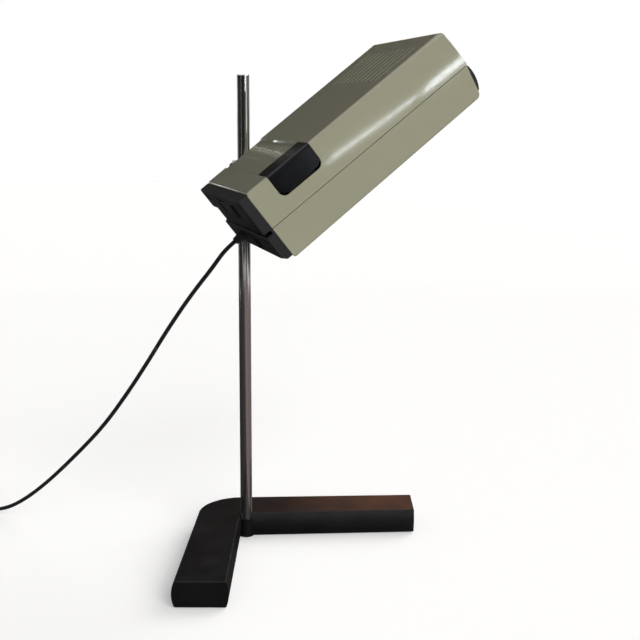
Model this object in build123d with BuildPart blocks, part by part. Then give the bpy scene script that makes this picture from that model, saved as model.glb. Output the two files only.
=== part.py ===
# Desk lamp: a wide box head that tilts on a clamp, a round rod and an L-shaped weighted base.
# Millimetres. Z is up, the floor is z = 0 and the rod's axis is x = y = 0. The base's right leg
# runs along +X and its front leg along -Y. The head is drawn in its own frame, with X along its
# length, Y across it and Z out of its top, and that frame's origin is the pivot that it tilts on.
import os
from math import atan2, cos, pi, radians, sin, sqrt, tan

from build123d import *

os.makedirs("parts", exist_ok=True)

# Fits
running_gap = 0.05
thread_gap = 0.05
hole_gap = 0.2
part_gap = 0.5

# Base
base_height = 25.5
side_leg_width = 48.5
front_leg_width = 45.5
side_leg = 178.2
front_leg = 161.5
corner_left = 4.4
corner_front = 6
side_leg_turn = 3.8
front_leg_flare = 1.8
outer_corner_radius = 46
side_draft = 18
side_round = 30
base_top_radius = 1
base_foot_radius = 1.5
boss_radius = 8
boss_height = 19.3
pad_thick = 0.8
pad_inset = 6

# Rod and the screw that holds it from below
rod_radius = 6
rod_top = 465
rod_bevel = 0.8
rod_seat = 13.5
rod_screw_radius = 3
rod_screw_reach = 12
rod_screw_head_radius = 5
rod_screw_head = 6
rod_washer_radius = 5.5
rod_washer_thick = 1.6
rod_seat_web = 3.5
hex_socket = 5
hex_socket_depth = 3

# Clamp on the rod
pivot_height = 363.5
rod_to_head = 20
head_heading = 17
clamp_height = 36
clamp_radius = 14
clamp_bevel = 1.5
bush_wall = 2.95
bush_flange = 2.5
bush_flange_over = 2
bush_slit = 1.2
ring_thick = 1.2
ring_over = 2.3
ring_groove = 0.8
bush_tail = 1.5
pivot_boss_radius = 12
friction_thick = 1.5
pivot_thread = 7.5
stud_radius = 3
stud_boss_radius = 8
stud_boss_reach = 18
stud_tip_gap = 0.3
knob_radius = 14
knob_thick = 14
knob_gap = 0.8
knob_flutes = 8
knob_flute_radius = 4
knob_flute_depth = 2
knob_bevel = 1
stud_in_knob = 9

# Head shells
head_tilt = 38.3
head_length = 213
head_width = 160
pivot_from_near = 31
pivot_below_top = 25.7
cover_depth = 35.3
head_depth = 66.8
housing_taper = 2.5
wall = 2
housing_floor = 2
seam_gap = 0.5
edge_radius = 3
end_edge_radius = 0.6
far_lean_top = 2
far_bulge = 1
far_lean_low = 3.3
far_bow = 0.5
far_foot_radius = 5

# Channel across the top, key and vents
channel_start = 22
channel_length = 44
channel_depth = 1.5
channel_slope = 1.5
key_top_width = 30
key_skirt = 20
key_wall = 2.5
key_corner_radius = 6
key_travel = 1.8
key_flange = 5
key_flange_thick = 1.5
short_vent_start = 51.6
short_vent_length = 9
short_vent_margin = 38
long_vent_start = 147
long_vent_length = 46
long_vent_margin = 20
vent_width = 2.5
vent_pitch = 12.2

# End caps and far end plate
cap_reach = 9.5
cap_wall = 2
cap_side_inset = 0.5
cap_top_inset = 1
cap_edge_radius = 1.5
cap_groove = 3.5
cap_foot_inset = 3.5
cap_foot_bevel = 4
cap_tongue = 2
notch_width = 23
notch_height = 15
notch_depth = 3.3
# Slots in the caps: start across from the near side, width, drop below the top and height
tall_slot = (92, 7, 4, 17)
wide_slot = (39, 15, 8, 13)
small_slot = (72, 14, 5.5, 2)
low_slot = (47, 21, 46, 11)
cap_window_margin = 20
plate_edge = 1.2
plate_bow = 2.2
plate_margin = 3

# Screws of the head
m3_radius = 1.5
m3_head_radius = 3
m3_head = 2
post_radius = 4.5
post_end_inset = 7
post_side_inset = 8
post_bite = 11.5
housing_screw_depth = 8
cap_screw_inset = 18
cap_screw_bite = 6

# Pivot inside the head
pivot_radius = 4
pivot_hole_gap = 0.6
pivot_plate_length = 38
pivot_plate_height = 20
pivot_plate_thick = 3
pivot_plate_drop = 8
pivot_washer_radius = 8
pivot_washer_thick = 1.6
spring_washer_radius = 7
spring_washer_thick = 1.6
pivot_head_radius = 7.5
pivot_head = 5
rivet_radius = 2
rivet_head_radius = 3.3
rivet_head = 0.8
rivet_spread = 16.5
rivet_low = -2
rivet_rise = 9

# Chassis and electrical parts
chassis_below_top = 10.5
chassis_thick = 1.2
chassis_start = 13
chassis_length = 61.5
chassis_near_margin = 6
chassis_far_margin = 10
chassis_boss_radius = 3.5
chassis_screw_inset = 4.5
chassis_screw_reach = 8
chassis_screw_gap = 12
lamp_below_top = 33.7
holder_radius = 19
holder_bore = 14
holder_start = 39
holder_length = 49
holder_back = 18
collar_radius = 21.5
collar_thick = 3
holder_ring_radius = 23
holder_ring_thick = 4
nipple_radius = 5
nipple_bore = 3.5
nipple_bite = 8
nipple_tail = 5.5
nut_radius = 8
nut_thick = 4
bracket_width = 36
bracket_drop = 38
bracket_flange = 16
bracket_thick = 1.5
bracket_screw_spread = 12
bulb_cap_radius = 13.3
bulb_cap_length = 25
bulb_contact_radius = 4
bulb_contact_thick = 1
bulb_radius = 22.5
bulb_neck_radius = 13
bulb_neck_end = 13.5
bulb_length = 79.5
glass_wall = 1
switch_along = 44
switch_across = 16
switch_length = 28
switch_width = 16
switch_height = 20
switch_neck_radius = 5
switch_neck = 3
plunger_radius = 3
plunger_reach = 8
plunger_room = 1
spring_wall = 1.2
block_along = 27
block_gap = 6
block_length = 30
block_width = 20
block_height = 14
block_screw_spread = 10
wire_radius = 1.1
wire_along = 30.5
wire_drop = 11
wire_bow = 4
wire_spacing = 3.5
wire_end = 7

# Reflector and the light's mouth
reflector_start = 77
reflector_sheet = 1
mouth_end_margin = 11
mouth_side_margin = 12
roof_end_inset = 22
roof_side_inset = 26
roof_below_top = 5.7

# Cord, its gland, its clamp and its plug
cord_radius = 2
cord_below_top = 50
gland_radius = 4.5
gland_tip_radius = 3.2
gland_out = 9.5
gland_flange_radius = 6.5
gland_flange = 2
saddle_start = 9
saddle_length = 8
saddle_width = 22
saddle_over = 2
saddle_screw_spread = 15
saddle_screw_bite = 5
inner_cord_radius = 16
exit_run = 12
arrival_run = 20
bend_share = 0.45
sweep_by_head = ((-24, -70, 290), (-46, -63, 262), (-70, -53, 227))
sweep_by_clamp = ((-93, -41, 190), (-117, -29, 154), (-142, -16, 120), (-172, 1, 87))
sweep_to_floor = ((-206, 19, 52), (-238, 36, 24), (-266, 50, 7))
coil_centre = (-322, 92)
coil_radius = 24
coil_pitch = 4.5
coil_layers = 4
coil_turns_in_layer = 2
coil_last_part = 0.75
coil_climb_turns = 0.5
coil_arcs_in_turn = 4
coil_turn_step = 0.002
coil_lead = 4
tail_run = 22
tail_radius = 20
tail_straight = 12
plug_front = -16
plug_length = 36
plug_width = 26
plug_height = 13.7
plug_corner_radius = 5
plug_relief = 12
plug_relief_radius = 3.4
pin_radius = 2.4
pin_length = 19
pin_spacing = 18.6

# Planes of the head: level with its top, along its side and across its end
turn, lift = radians(head_heading), radians(head_tilt)
along = Vector(cos(lift) * cos(turn), cos(lift) * sin(turn), sin(lift))
across = Vector(-sin(turn), cos(turn), 0)
HEAD = Plane(
    origin=Vector(0, 0, pivot_height) - across * rod_to_head,
    x_dir=along,
    z_dir=along.cross(across),
)
CLAMP = Plane(origin=(0, 0, pivot_height), x_dir=(cos(turn), sin(turn), 0), z_dir=(0, 0, 1))


def level(z):
    return HEAD.offset(z)


def side(y):
    return Plane(HEAD.from_local_coords(Vector(0, y, 0)), x_dir=HEAD.x_dir, z_dir=-HEAD.y_dir)


def end(x):
    return Plane(HEAD.from_local_coords(Vector(x, 0, 0)), x_dir=HEAD.y_dir, z_dir=HEAD.x_dir)


def clamp_side(y):
    return Plane(CLAMP.from_local_coords(Vector(0, y, 0)), x_dir=CLAMP.x_dir, z_dir=-CLAMP.y_dir)


def slab(plane, low, high, thick, mode=Mode.ADD):
    with BuildSketch(plane) as shape:
        with Locations(((low[0] + high[0]) / 2, (low[1] + high[1]) / 2)):
            Rectangle(high[0] - low[0], high[1] - low[1])
    extrude(shape.sketch, amount=thick, mode=mode)


def disc(plane, place, radius, thick, mode=Mode.ADD):
    with BuildSketch(plane) as shape:
        with Locations(place):
            Circle(radius)
    extrude(shape.sketch, amount=thick, mode=mode)


def washer(plane, place, radius, bore, thick):
    with BuildSketch(plane) as shape:
        with Locations(place):
            Circle(radius)
            Circle(bore, mode=Mode.SUBTRACT)
    extrude(shape.sketch, amount=thick)


def screw(plane, places, radius, reach, head_radius, head):
    disc(plane, places, radius, reach)
    disc(plane, places, head_radius, -head)


# Base casting: an L-shaped weight with bowed sides, sawn ends and a boss in its inner corner that
# takes the rod. Its legs are drawn too long, and the ends are cut once the sides have their bow.
left_x = -corner_left - front_leg_width
right_x = -corner_left + side_leg
back_y = -corner_front + side_leg_width
front_y = -corner_front - front_leg
base_middle = (base_height + pad_thick) / 2
bow_loss = side_round * (1 / cos(radians(side_draft)) - 1)
counterbore_top = rod_seat - rod_seat_web
rod_screw_seat = counterbore_top - rod_washer_thick


def base_outline(beyond):
    shift = (side_leg + beyond) * tan(radians(side_leg_turn))
    spread = (front_leg + beyond) * tan(radians(front_leg_flare))
    with BuildLine() as outline:
        Polyline(
            (left_x, back_y),
            (right_x + beyond, back_y + shift),
            (right_x + beyond, shift - corner_front),
            (-corner_left, -corner_front),
            (-corner_left, front_y - beyond),
            (left_x - spread, front_y - beyond),
            close=True,
        )
    make_face(outline.edges())
    fillet(max(vertices(), key=lambda v: v.Y - v.X), outer_corner_radius)


with BuildPart() as base_casting:
    with BuildSketch(Plane.XY.offset(base_middle)):
        base_outline(side_leg_width)
        offset(amount=bow_loss, kind=Kind.INTERSECTION)
    extrude(amount=base_height - base_middle, both=True, taper=side_draft)
    ridge = [e for e in base_casting.edges() if abs(e.center().Z - base_middle) < part_gap]
    fillet(ridge, side_round)
    end_width = 2 * side_leg_width
    beyond_side = (right_x, front_y), (right_x + end_width, back_y + end_width)
    slab(Plane.XY, *beyond_side, 2 * base_height, Mode.SUBTRACT)
    beyond_front = (left_x - end_width, front_y - end_width), (0, front_y)
    slab(Plane.XY, *beyond_front, 2 * base_height, Mode.SUBTRACT)
    fillet(base_casting.faces().sort_by(Axis.Z)[-1].edges(), base_top_radius)
    fillet(base_casting.faces().sort_by(Axis.Z)[0].edges(), base_foot_radius)
    disc(Plane.XY.offset(pad_thick), (0, 0), boss_radius, boss_height - pad_thick)
    bore_height = base_height - rod_seat
    disc(Plane.XY.offset(rod_seat), (0, 0), rod_radius + running_gap, bore_height, Mode.SUBTRACT)
    disc(Plane.XY, (0, 0), rod_screw_radius + hole_gap, rod_seat, Mode.SUBTRACT)
    disc(Plane.XY, (0, 0), rod_washer_radius + hole_gap, counterbore_top, Mode.SUBTRACT)
base_casting.part.label = "base_casting"

# Rubber pad under the casting, set in from its edge.
with BuildPart() as base_pad:
    with BuildSketch():
        base_outline(0)
        offset(amount=-pad_inset)
    extrude(amount=pad_thick)
base_pad.part.label = "base_pad"

# Polished rod with a bevelled top and a threaded hole in its foot.
with BuildPart() as rod:
    disc(Plane.XY.offset(rod_seat), (0, 0), rod_radius, rod_top - rod_seat)
    chamfer(rod.edges().sort_by(Axis.Z)[-1], rod_bevel)
    thread_depth = rod_screw_reach + rod_washer_thick
    disc(Plane.XY.offset(rod_seat), (0, 0), rod_screw_radius + thread_gap, thread_depth, Mode.SUBTRACT)
rod.part.label = "rod"

# Washer and socket screw that pull the rod down on its seat.
with BuildPart() as rod_washer:
    bore = rod_screw_radius + hole_gap
    washer(Plane.XY.offset(rod_screw_seat), (0, 0), rod_washer_radius, bore, rod_washer_thick)
rod_washer.part.label = "rod_washer"

with BuildPart() as rod_screw:
    reach = rod_seat + rod_screw_reach - rod_screw_seat
    seat = Plane.XY.offset(rod_screw_seat)
    screw(seat, [(0, 0)], rod_screw_radius, reach, rod_screw_head_radius, rod_screw_head)
    with BuildSketch(seat.offset(-rod_screw_head)):
        RegularPolygon(hex_socket / 2, 6, major_radius=False)
    extrude(amount=hex_socket_depth, mode=Mode.SUBTRACT)
rod_screw.part.label = "rod_screw"

# Split bush that slides on the rod, with a flange above the clamp and a snap ring below it.
bush_radius = rod_radius + running_gap + bush_wall
bush_foot = -clamp_height / 2 - ring_thick - bush_tail
ring_foot = -clamp_height / 2 - ring_thick

with BuildPart(CLAMP) as slide_bush:
    bush_length = clamp_height / 2 + bush_flange - bush_foot
    disc(CLAMP.offset(bush_foot), (0, 0), bush_radius, bush_length)
    disc(CLAMP.offset(clamp_height / 2), (0, 0), bush_radius + bush_flange_over, bush_flange)
    with BuildSketch(CLAMP.offset(ring_foot)):
        Circle(bush_radius)
        Circle(bush_radius - ring_groove, mode=Mode.SUBTRACT)
    extrude(amount=ring_thick, mode=Mode.SUBTRACT)
    disc(CLAMP.offset(bush_foot), (0, 0), rod_radius + running_gap, bush_length, Mode.SUBTRACT)
    slit_end = (bush_radius + bush_flange_over, bush_slit / 2)
    slab(CLAMP.offset(bush_foot), (0, -bush_slit / 2), slit_end, bush_length, Mode.SUBTRACT)
slide_bush.part.label = "slide_bush"

with BuildPart(CLAMP) as bush_ring:
    ring_bore = bush_radius - ring_groove + thread_gap
    washer(CLAMP.offset(ring_foot), (0, 0), bush_radius + ring_over, ring_bore, ring_thick)
bush_ring.part.label = "bush_ring"

# Clamp body: a round block on the bush, with a boss for the pivot bolt and one for the stud.
pivot_face = -rod_to_head + friction_thick

with BuildPart(CLAMP) as clamp_body:
    disc(CLAMP.offset(-clamp_height / 2), (0, 0), clamp_radius, clamp_height)
    chamfer(clamp_body.edges().filter_by(GeomType.CIRCLE), clamp_bevel)
    disc(clamp_side(0), (0, 0), pivot_boss_radius, -pivot_face)
    disc(clamp_side(0), (0, 0), stud_boss_radius, -stud_boss_reach)
    disc(clamp_side(stud_boss_reach), (0, 0), stud_radius + thread_gap, stud_boss_reach, Mode.SUBTRACT)
    disc(clamp_side(pivot_face), (0, 0), pivot_radius + thread_gap, -pivot_thread, Mode.SUBTRACT)
    clamp_bore = bush_radius + running_gap
    disc(CLAMP.offset(-clamp_height / 2), (0, 0), clamp_bore, clamp_height, Mode.SUBTRACT)
clamp_body.part.label = "clamp_body"

# Fluted knob on a threaded stud that presses on the bush.
knob_back = stud_boss_reach + knob_gap

with BuildPart(CLAMP) as clamp_knob:
    with BuildSketch(clamp_side(knob_back)):
        Circle(knob_radius)
        with PolarLocations(knob_radius + knob_flute_radius - knob_flute_depth, knob_flutes):
            Circle(knob_flute_radius, mode=Mode.SUBTRACT)
    extrude(amount=-knob_thick)
    chamfer(clamp_knob.faces().sort_by(Axis(CLAMP.origin, CLAMP.y_dir))[-1].edges(), knob_bevel)
    disc(clamp_side(knob_back), (0, 0), stud_radius + thread_gap, -stud_in_knob, Mode.SUBTRACT)
clamp_knob.part.label = "clamp_knob"

with BuildPart(CLAMP) as clamp_stud:
    stud_tip = bush_radius + stud_tip_gap
    disc(clamp_side(stud_tip), (0, 0), stud_radius, stud_tip - knob_back - stud_in_knob)
clamp_stud.part.label = "clamp_stud"

# Head shells. Their side view is drawn along the head, and the seam runs all round between them.
near_x = -pivot_from_near
far_x = near_x + head_length
near_side = -head_width
top_z = pivot_below_top
seam_z = top_z - cover_depth
far_seam = far_x + far_bulge
far_low = far_x - far_lean_low
channel_x0 = near_x + channel_start
channel_x1 = channel_x0 + channel_length
housing_foot = top_z - head_depth
far_foot = housing_foot + housing_taper
floor_z = far_foot + housing_floor
ceiling = top_z - wall
channel_ceiling = ceiling - channel_depth
post_x = (near_x + post_end_inset, far_x - post_end_inset)
post_y = (near_side + post_side_inset, -post_side_inset)
posts = [(x, y) for x in post_x for y in post_y]
cap_top = top_z - cap_top_inset
upper_cap_foot = top_z - cover_depth - hole_gap
lower_cap_top = upper_cap_foot - cap_groove
lower_cap_foot = housing_foot + cap_foot_inset
cap_screw_y = (near_side + cap_screw_inset, -cap_screw_inset)
upper_cap_screw_z = seam_z + post_radius + wall
lower_cap_screw_z = (lower_cap_top + lower_cap_foot) / 2
pivot_plate_foot = -pivot_plate_drop
cord_z = top_z - cord_below_top
lamp_y = near_side / 2
block_y = lamp_y + (bracket_width + block_width) / 2 + block_gap
cord_y = block_y
chassis_z = top_z - chassis_below_top
chassis_x0 = near_x + chassis_start
chassis_x1 = chassis_x0 + chassis_length
chassis_screw_x = (chassis_x0 + chassis_screw_inset, chassis_x1 - chassis_screw_inset)
chassis_near_y = lamp_y - bracket_width / 2 - chassis_screw_gap
chassis_far_y = block_y + block_width / 2 + chassis_screw_gap
chassis_places = [(x, y) for x in chassis_screw_x for y in (chassis_near_y, chassis_far_y)]
rivets = [(x, rivet_low + z) for x in (-rivet_spread, rivet_spread) for z in (0, rivet_rise)]


def end_edges(shell, x, out):
    face = shell.faces().sort_by(Axis(HEAD.origin, HEAD.x_dir))[out]
    return [e for e in face.edges() if abs(HEAD.to_local_coords(e.center()).Z - seam_z) > 2 * seam_gap]


def long_edges(shell, z):
    found = []
    for e in shell.edges().filter_by(GeomType.LINE):
        place = HEAD.to_local_coords(e.center())
        if abs(place.Z - z) < wall and e.length > head_length / 2:
            found.append(e)
    return found


with BuildPart(HEAD) as top_cover:
    with BuildSketch(side(0)):
        with BuildLine():
            far_top = (far_x - far_lean_top, top_z)
            Polyline((far_seam, seam_z), (near_x, seam_z), (near_x, top_z), far_top)
            SagittaArc(far_top, (far_seam, seam_z), far_bow)
        make_face()
    extrude(amount=head_width)
    fillet(long_edges(top_cover, top_z), edge_radius)
    fillet(end_edges(top_cover, near_x, 0), end_edge_radius)
    with BuildSketch(side(-wall)):
        slope_shift = wall * tan(atan2(channel_depth, channel_slope) / 2)
        with BuildLine():
            Polyline(
                (near_x + wall, seam_z - wall),
                (near_x + wall, ceiling),
                (channel_x0 - slope_shift, ceiling),
                (channel_x0 - slope_shift + channel_slope, channel_ceiling),
                (channel_x1 + slope_shift - channel_slope, channel_ceiling),
                (channel_x1 + slope_shift, ceiling),
                (far_x - far_lean_top - wall, ceiling),
                (far_seam - wall, seam_z - wall),
                close=True,
            )
        make_face()
    extrude(amount=head_width - 2 * wall, mode=Mode.SUBTRACT)
    with BuildSketch(side(0)):
        with BuildLine():
            Polyline(
                (channel_x0 - channel_slope, top_z + channel_depth),
                (channel_x0 + channel_slope, top_z - channel_depth),
                (channel_x1 - channel_slope, top_z - channel_depth),
                (channel_x1 + channel_slope, top_z + channel_depth),
                close=True,
            )
        make_face()
    extrude(amount=head_width, mode=Mode.SUBTRACT)
    key_end = near_side + key_top_width + part_gap
    key_gap = (channel_x0, near_side), (channel_x1, key_end)
    slab(level(ceiling - wall), *key_gap, 3 * wall, Mode.SUBTRACT)
    key_hole_foot = top_z - key_skirt - key_travel - part_gap
    with BuildSketch(side(near_side + key_wall)):
        with BuildLine():
            Polyline(
                (channel_x0, top_z + wall),
                (channel_x1, top_z + wall),
                (channel_x1, key_hole_foot),
                (channel_x0, key_hole_foot),
                close=True,
            )
        make_face()
        fillet([v for v in vertices() if v.Y < top_z - key_skirt / 2], key_corner_radius + part_gap)
    extrude(amount=2 * key_wall, mode=Mode.SUBTRACT)
    vent_cut = 2 * (wall + channel_depth)
    vent_foot = level(top_z - vent_cut / 2 - channel_depth)
    short_vents = int((head_width - short_vent_margin - long_vent_margin) // vent_pitch) + 1
    with BuildSketch(vent_foot):
        for k in range(short_vents):
            y = near_side + short_vent_margin + k * vent_pitch
            with Locations((near_x + short_vent_start + short_vent_length / 2, y)):
                SlotOverall(short_vent_length, vent_width)
        for k in range(int((head_width - 2 * long_vent_margin) // vent_pitch) + 1):
            y = near_side + long_vent_margin + k * vent_pitch
            with Locations((near_x + long_vent_start + long_vent_length / 2, y)):
                SlotOverall(long_vent_length, vent_width)
    extrude(amount=vent_cut, mode=Mode.SUBTRACT)
    window_low = (near_side + cap_window_margin, upper_cap_screw_z + post_radius)
    window_high = (-cap_window_margin, ceiling)
    slab(end(near_x - wall), window_low, window_high, 2 * wall + end_edge_radius, Mode.SUBTRACT)
    disc(level(seam_z), posts, post_radius, ceiling - seam_z)
    disc(level(seam_z), posts, m3_radius + thread_gap, post_bite, Mode.SUBTRACT)
    chassis_face = chassis_z + chassis_thick
    pilot = chassis_screw_reach - chassis_thick
    disc(level(chassis_face), chassis_places, chassis_boss_radius, ceiling - chassis_face)
    disc(level(chassis_face), chassis_places, m3_radius + thread_gap, pilot, Mode.SUBTRACT)
    disc(side(wall), (0, 0), pivot_radius + pivot_hole_gap, 3 * wall, Mode.SUBTRACT)
    disc(side(wall), rivets, rivet_radius + thread_gap, 3 * wall, Mode.SUBTRACT)
    cap_holes = [(y, upper_cap_screw_z) for y in cap_screw_y]
    disc(end(near_x - wall), cap_holes, m3_radius + hole_gap, 3 * wall, Mode.SUBTRACT)
top_cover.part.label = "top_cover"

# Lower housing: its floor has the light's mouth, and it is screwed up into the cover's posts.
mouth_x0 = near_x + reflector_start
mouth_x1 = far_x - mouth_end_margin
mouth_y0 = near_side + mouth_side_margin
mouth_y1 = -mouth_side_margin
saddle_x0 = near_x + saddle_start
saddle_foot = cord_z - cord_radius
saddle_places = [(saddle_x0 + saddle_length / 2, cord_y + s * saddle_screw_spread / 2) for s in (-1, 1)]

with BuildPart(HEAD) as lower_housing:
    with BuildSketch(side(0)):
        with BuildLine():
            Polyline(
                (near_x, seam_z - seam_gap),
                (far_seam, seam_z - seam_gap),
                (far_low, far_foot),
                (near_x, housing_foot),
                close=True,
            )
        make_face()
        foot = max(vertices(), key=lambda v: v.X - v.Y)
        fillet(foot, far_foot_radius)
    extrude(amount=head_width)
    fillet(long_edges(lower_housing, housing_foot), edge_radius)
    fillet(end_edges(lower_housing, near_x, 0), end_edge_radius)
    with BuildSketch(side(-wall)):
        with BuildLine():
            Polyline(
                (near_x + wall, seam_z + wall),
                (far_seam - wall, seam_z + wall),
                (far_low - wall, floor_z),
                (near_x + wall, floor_z),
                close=True,
            )
        make_face()
    extrude(amount=head_width - 2 * wall, mode=Mode.SUBTRACT)
    mouth_low = (mouth_x0 + reflector_sheet, mouth_y0 + reflector_sheet)
    mouth_high = (mouth_x1 - reflector_sheet, mouth_y1 - reflector_sheet)
    mouth_cut = floor_z - housing_foot + 2 * wall
    slab(level(housing_foot - wall), mouth_low, mouth_high, mouth_cut, Mode.SUBTRACT)
    disc(level(floor_z), posts, post_radius, seam_z - floor_z)
    saddle_end = (saddle_x0 + saddle_length, cord_y + saddle_width / 2)
    slab(level(floor_z), (saddle_x0, cord_y - saddle_width / 2), saddle_end, saddle_foot - floor_z)
    screw_seat = housing_foot + housing_screw_depth
    below = level(housing_foot - wall)
    disc(below, posts, m3_radius + hole_gap, seam_z - housing_foot + wall, Mode.SUBTRACT)
    disc(below, posts, m3_head_radius + hole_gap, screw_seat - housing_foot + wall, Mode.SUBTRACT)
    disc(level(saddle_foot), saddle_places, m3_radius + thread_gap, -saddle_screw_bite, Mode.SUBTRACT)
    disc(end(near_x - wall), (cord_y, cord_z), gland_radius + hole_gap, 3 * wall, Mode.SUBTRACT)
    cap_holes = [(y, lower_cap_screw_z) for y in cap_screw_y]
    disc(end(near_x - wall), cap_holes, m3_radius + hole_gap, 3 * wall, Mode.SUBTRACT)
lower_housing.part.label = "lower_housing"

# Screws that join the shells, from below.
with BuildPart(HEAD) as cover_screws:
    reach = seam_z + post_bite - screw_seat - part_gap
    screw(level(screw_seat), posts, m3_radius, reach, m3_head_radius, m3_head)
cover_screws.part.label = "cover_screws"


def cap_slot(spec):
    start, width, drop, height = spec
    y0 = near_side + start
    return (y0, top_z - drop - height), (y0 + width, top_z - drop)


# Upper end cap: a shallow slotted box on the cover's near end, notched at its far corner.
cap_front = near_x - cap_reach
cap_y0 = near_side + cap_side_inset
cap_y1 = -cap_side_inset

with BuildPart(HEAD) as upper_end_cap:
    slab(end(cap_front), (cap_y0, upper_cap_foot), (cap_y1, cap_top), cap_reach)
    fillet(upper_end_cap.faces().sort_by(Axis(HEAD.origin, HEAD.x_dir))[0].edges(), cap_edge_radius)
    hollow_low = (cap_y0 + cap_wall, upper_cap_foot + cap_wall)
    hollow_high = (-notch_width - cap_wall, cap_top - cap_wall)
    slab(end(cap_front + cap_wall), hollow_low, hollow_high, cap_reach, Mode.SUBTRACT)
    notch = (-notch_width, upper_cap_foot), (0, upper_cap_foot + notch_height)
    slab(end(cap_front), *notch, notch_depth, Mode.SUBTRACT)
    for spec in (tall_slot, wide_slot, small_slot):
        slab(end(cap_front), *cap_slot(spec), cap_wall, Mode.SUBTRACT)
    bosses = [(y, upper_cap_screw_z) for y in cap_screw_y]
    disc(end(near_x), bosses[:1], m3_head_radius, cap_wall - cap_reach)
    disc(end(near_x), bosses, m3_radius + thread_gap, -cap_screw_bite, Mode.SUBTRACT)
upper_end_cap.part.label = "upper_end_cap"

# Lower end cap: the same on the housing, with the cord's hole, a bevelled foot and a tongue
# behind the groove between the caps.
with BuildPart(HEAD) as lower_end_cap:
    slab(end(cap_front), (cap_y0, lower_cap_foot), (cap_y1, lower_cap_top), cap_reach)
    front = lower_end_cap.faces().sort_by(Axis(HEAD.origin, HEAD.x_dir))[0]
    chamfer(front.edges().sort_by(Axis(HEAD.origin, HEAD.z_dir))[0], cap_foot_bevel)
    front = lower_end_cap.faces().sort_by(Axis(HEAD.origin, HEAD.x_dir))[0]
    fillet(front.edges().sort_by(Axis(HEAD.origin, HEAD.z_dir))[1:], cap_edge_radius)
    slab(end(near_x - cap_tongue), (cap_y0, lower_cap_top), (cap_y1, upper_cap_foot), cap_tongue)
    bay_end = cord_y - gland_flange_radius - cap_wall
    hollow = (cap_y0 + cap_wall, lower_cap_foot + cap_foot_bevel), (bay_end, lower_cap_top - cap_wall)
    slab(end(cap_front + cap_wall), *hollow, cap_reach, Mode.SUBTRACT)
    slab(end(cap_front), *cap_slot(low_slot), cap_wall, Mode.SUBTRACT)
    bosses = [(y, lower_cap_screw_z) for y in cap_screw_y]
    disc(end(near_x), bosses[:1], m3_head_radius, cap_wall - cap_reach)
    disc(end(near_x), bosses, m3_radius + thread_gap, -cap_screw_bite, Mode.SUBTRACT)
    disc(end(cap_front), (cord_y, cord_z), gland_radius + hole_gap, cap_reach, Mode.SUBTRACT)
lower_end_cap.part.label = "lower_end_cap"

# Screws that hold both caps, from inside the shells.
with BuildPart(HEAD) as cap_screws:
    places = [(y, z) for y in cap_screw_y for z in (upper_cap_screw_z, lower_cap_screw_z)]
    reach = part_gap - cap_screw_bite - wall
    screw(end(near_x + wall), places, m3_radius, reach, m3_head_radius, -m3_head)
cap_screws.part.label = "cap_screws"

# Plate that closes the housing's far end: thin at its top and foot, and bowed out between them.
with BuildPart(HEAD) as far_end_plate:
    far_slope = (far_seam - far_low) / (seam_z - seam_gap - far_foot)
    plate_top = seam_z - seam_gap - plate_edge
    plate_foot = far_foot + far_foot_radius
    plate_x0 = far_seam - far_slope * (seam_z - seam_gap - plate_top)
    plate_x1 = far_seam - far_slope * (seam_z - seam_gap - plate_foot)
    with BuildSketch(side(-plate_margin)):
        with BuildLine():
            low_edge = (plate_x1 + plate_edge, plate_foot)
            high_edge = (plate_x0 + plate_edge, plate_top)
            Polyline(low_edge, (plate_x1, plate_foot), (plate_x0, plate_top), high_edge)
            SagittaArc(high_edge, low_edge, plate_bow)
        make_face()
    extrude(amount=head_width - 2 * plate_margin)
far_end_plate.part.label = "far_end_plate"

# Key that wraps the top edge: a top strip, a skirt with rounded corners and an inner stop flange.
key_x0 = channel_x0 + part_gap
key_x1 = channel_x1 - part_gap
key_y1 = near_side + key_top_width

with BuildPart(HEAD) as switch_key:
    with BuildSketch(side(near_side + key_wall)):
        with BuildLine():
            Polyline(
                (key_x0, top_z),
                (key_x1, top_z),
                (key_x1, top_z - key_skirt),
                (key_x0, top_z - key_skirt),
                close=True,
            )
        make_face()
        fillet([v for v in vertices() if v.Y < top_z - key_skirt / 2], key_corner_radius)
    extrude(amount=key_wall)
    slab(level(top_z - key_wall), (key_x0, near_side), (key_x1, key_y1), key_wall)
    corner = HEAD.from_local_coords(Vector((key_x0 + key_x1) / 2, near_side, top_z))
    straight = switch_key.edges().filter_by(GeomType.LINE)
    fillet(min(straight, key=lambda e: (e.center() - corner).length), edge_radius - part_gap)
    stop_top = channel_ceiling
    stop_foot = stop_top - key_flange_thick
    slab(level(stop_foot), (key_x0, key_y1 - key_wall), (key_x1, key_y1), top_z - key_wall - stop_foot)
    slab(level(stop_foot), (key_x0, key_y1), (key_x1, key_y1 + key_flange), key_flange_thick)
switch_key.part.label = "switch_key"

# Plate that hangs under the cover and carries the electrical parts.
switch_place = (near_x + switch_along, near_side + switch_across)
block_place = (near_x + block_along, block_y)
lamp_z = top_z - lamp_below_top
holder_x0 = near_x + holder_start
bracket_back = holder_x0 - bracket_thick
bracket_screw_x = bracket_back - bracket_flange / 2
bracket_places = [(bracket_screw_x, lamp_y + s * bracket_screw_spread) for s in (-1, 1)]
block_places = [(block_place[0] + s * block_screw_spread, block_place[1]) for s in (-1, 1)]
top_places = bracket_places + block_places

with BuildPart(HEAD) as chassis_plate:
    plate_low = (chassis_x0, near_side + chassis_near_margin)
    slab(level(chassis_z), plate_low, (chassis_x1, -chassis_far_margin), chassis_thick)
    places = chassis_places + top_places
    disc(level(chassis_z), places, m3_radius + hole_gap, chassis_thick, Mode.SUBTRACT)
    disc(level(chassis_z), switch_place, switch_neck_radius + hole_gap, chassis_thick, Mode.SUBTRACT)
chassis_plate.part.label = "chassis_plate"

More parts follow.
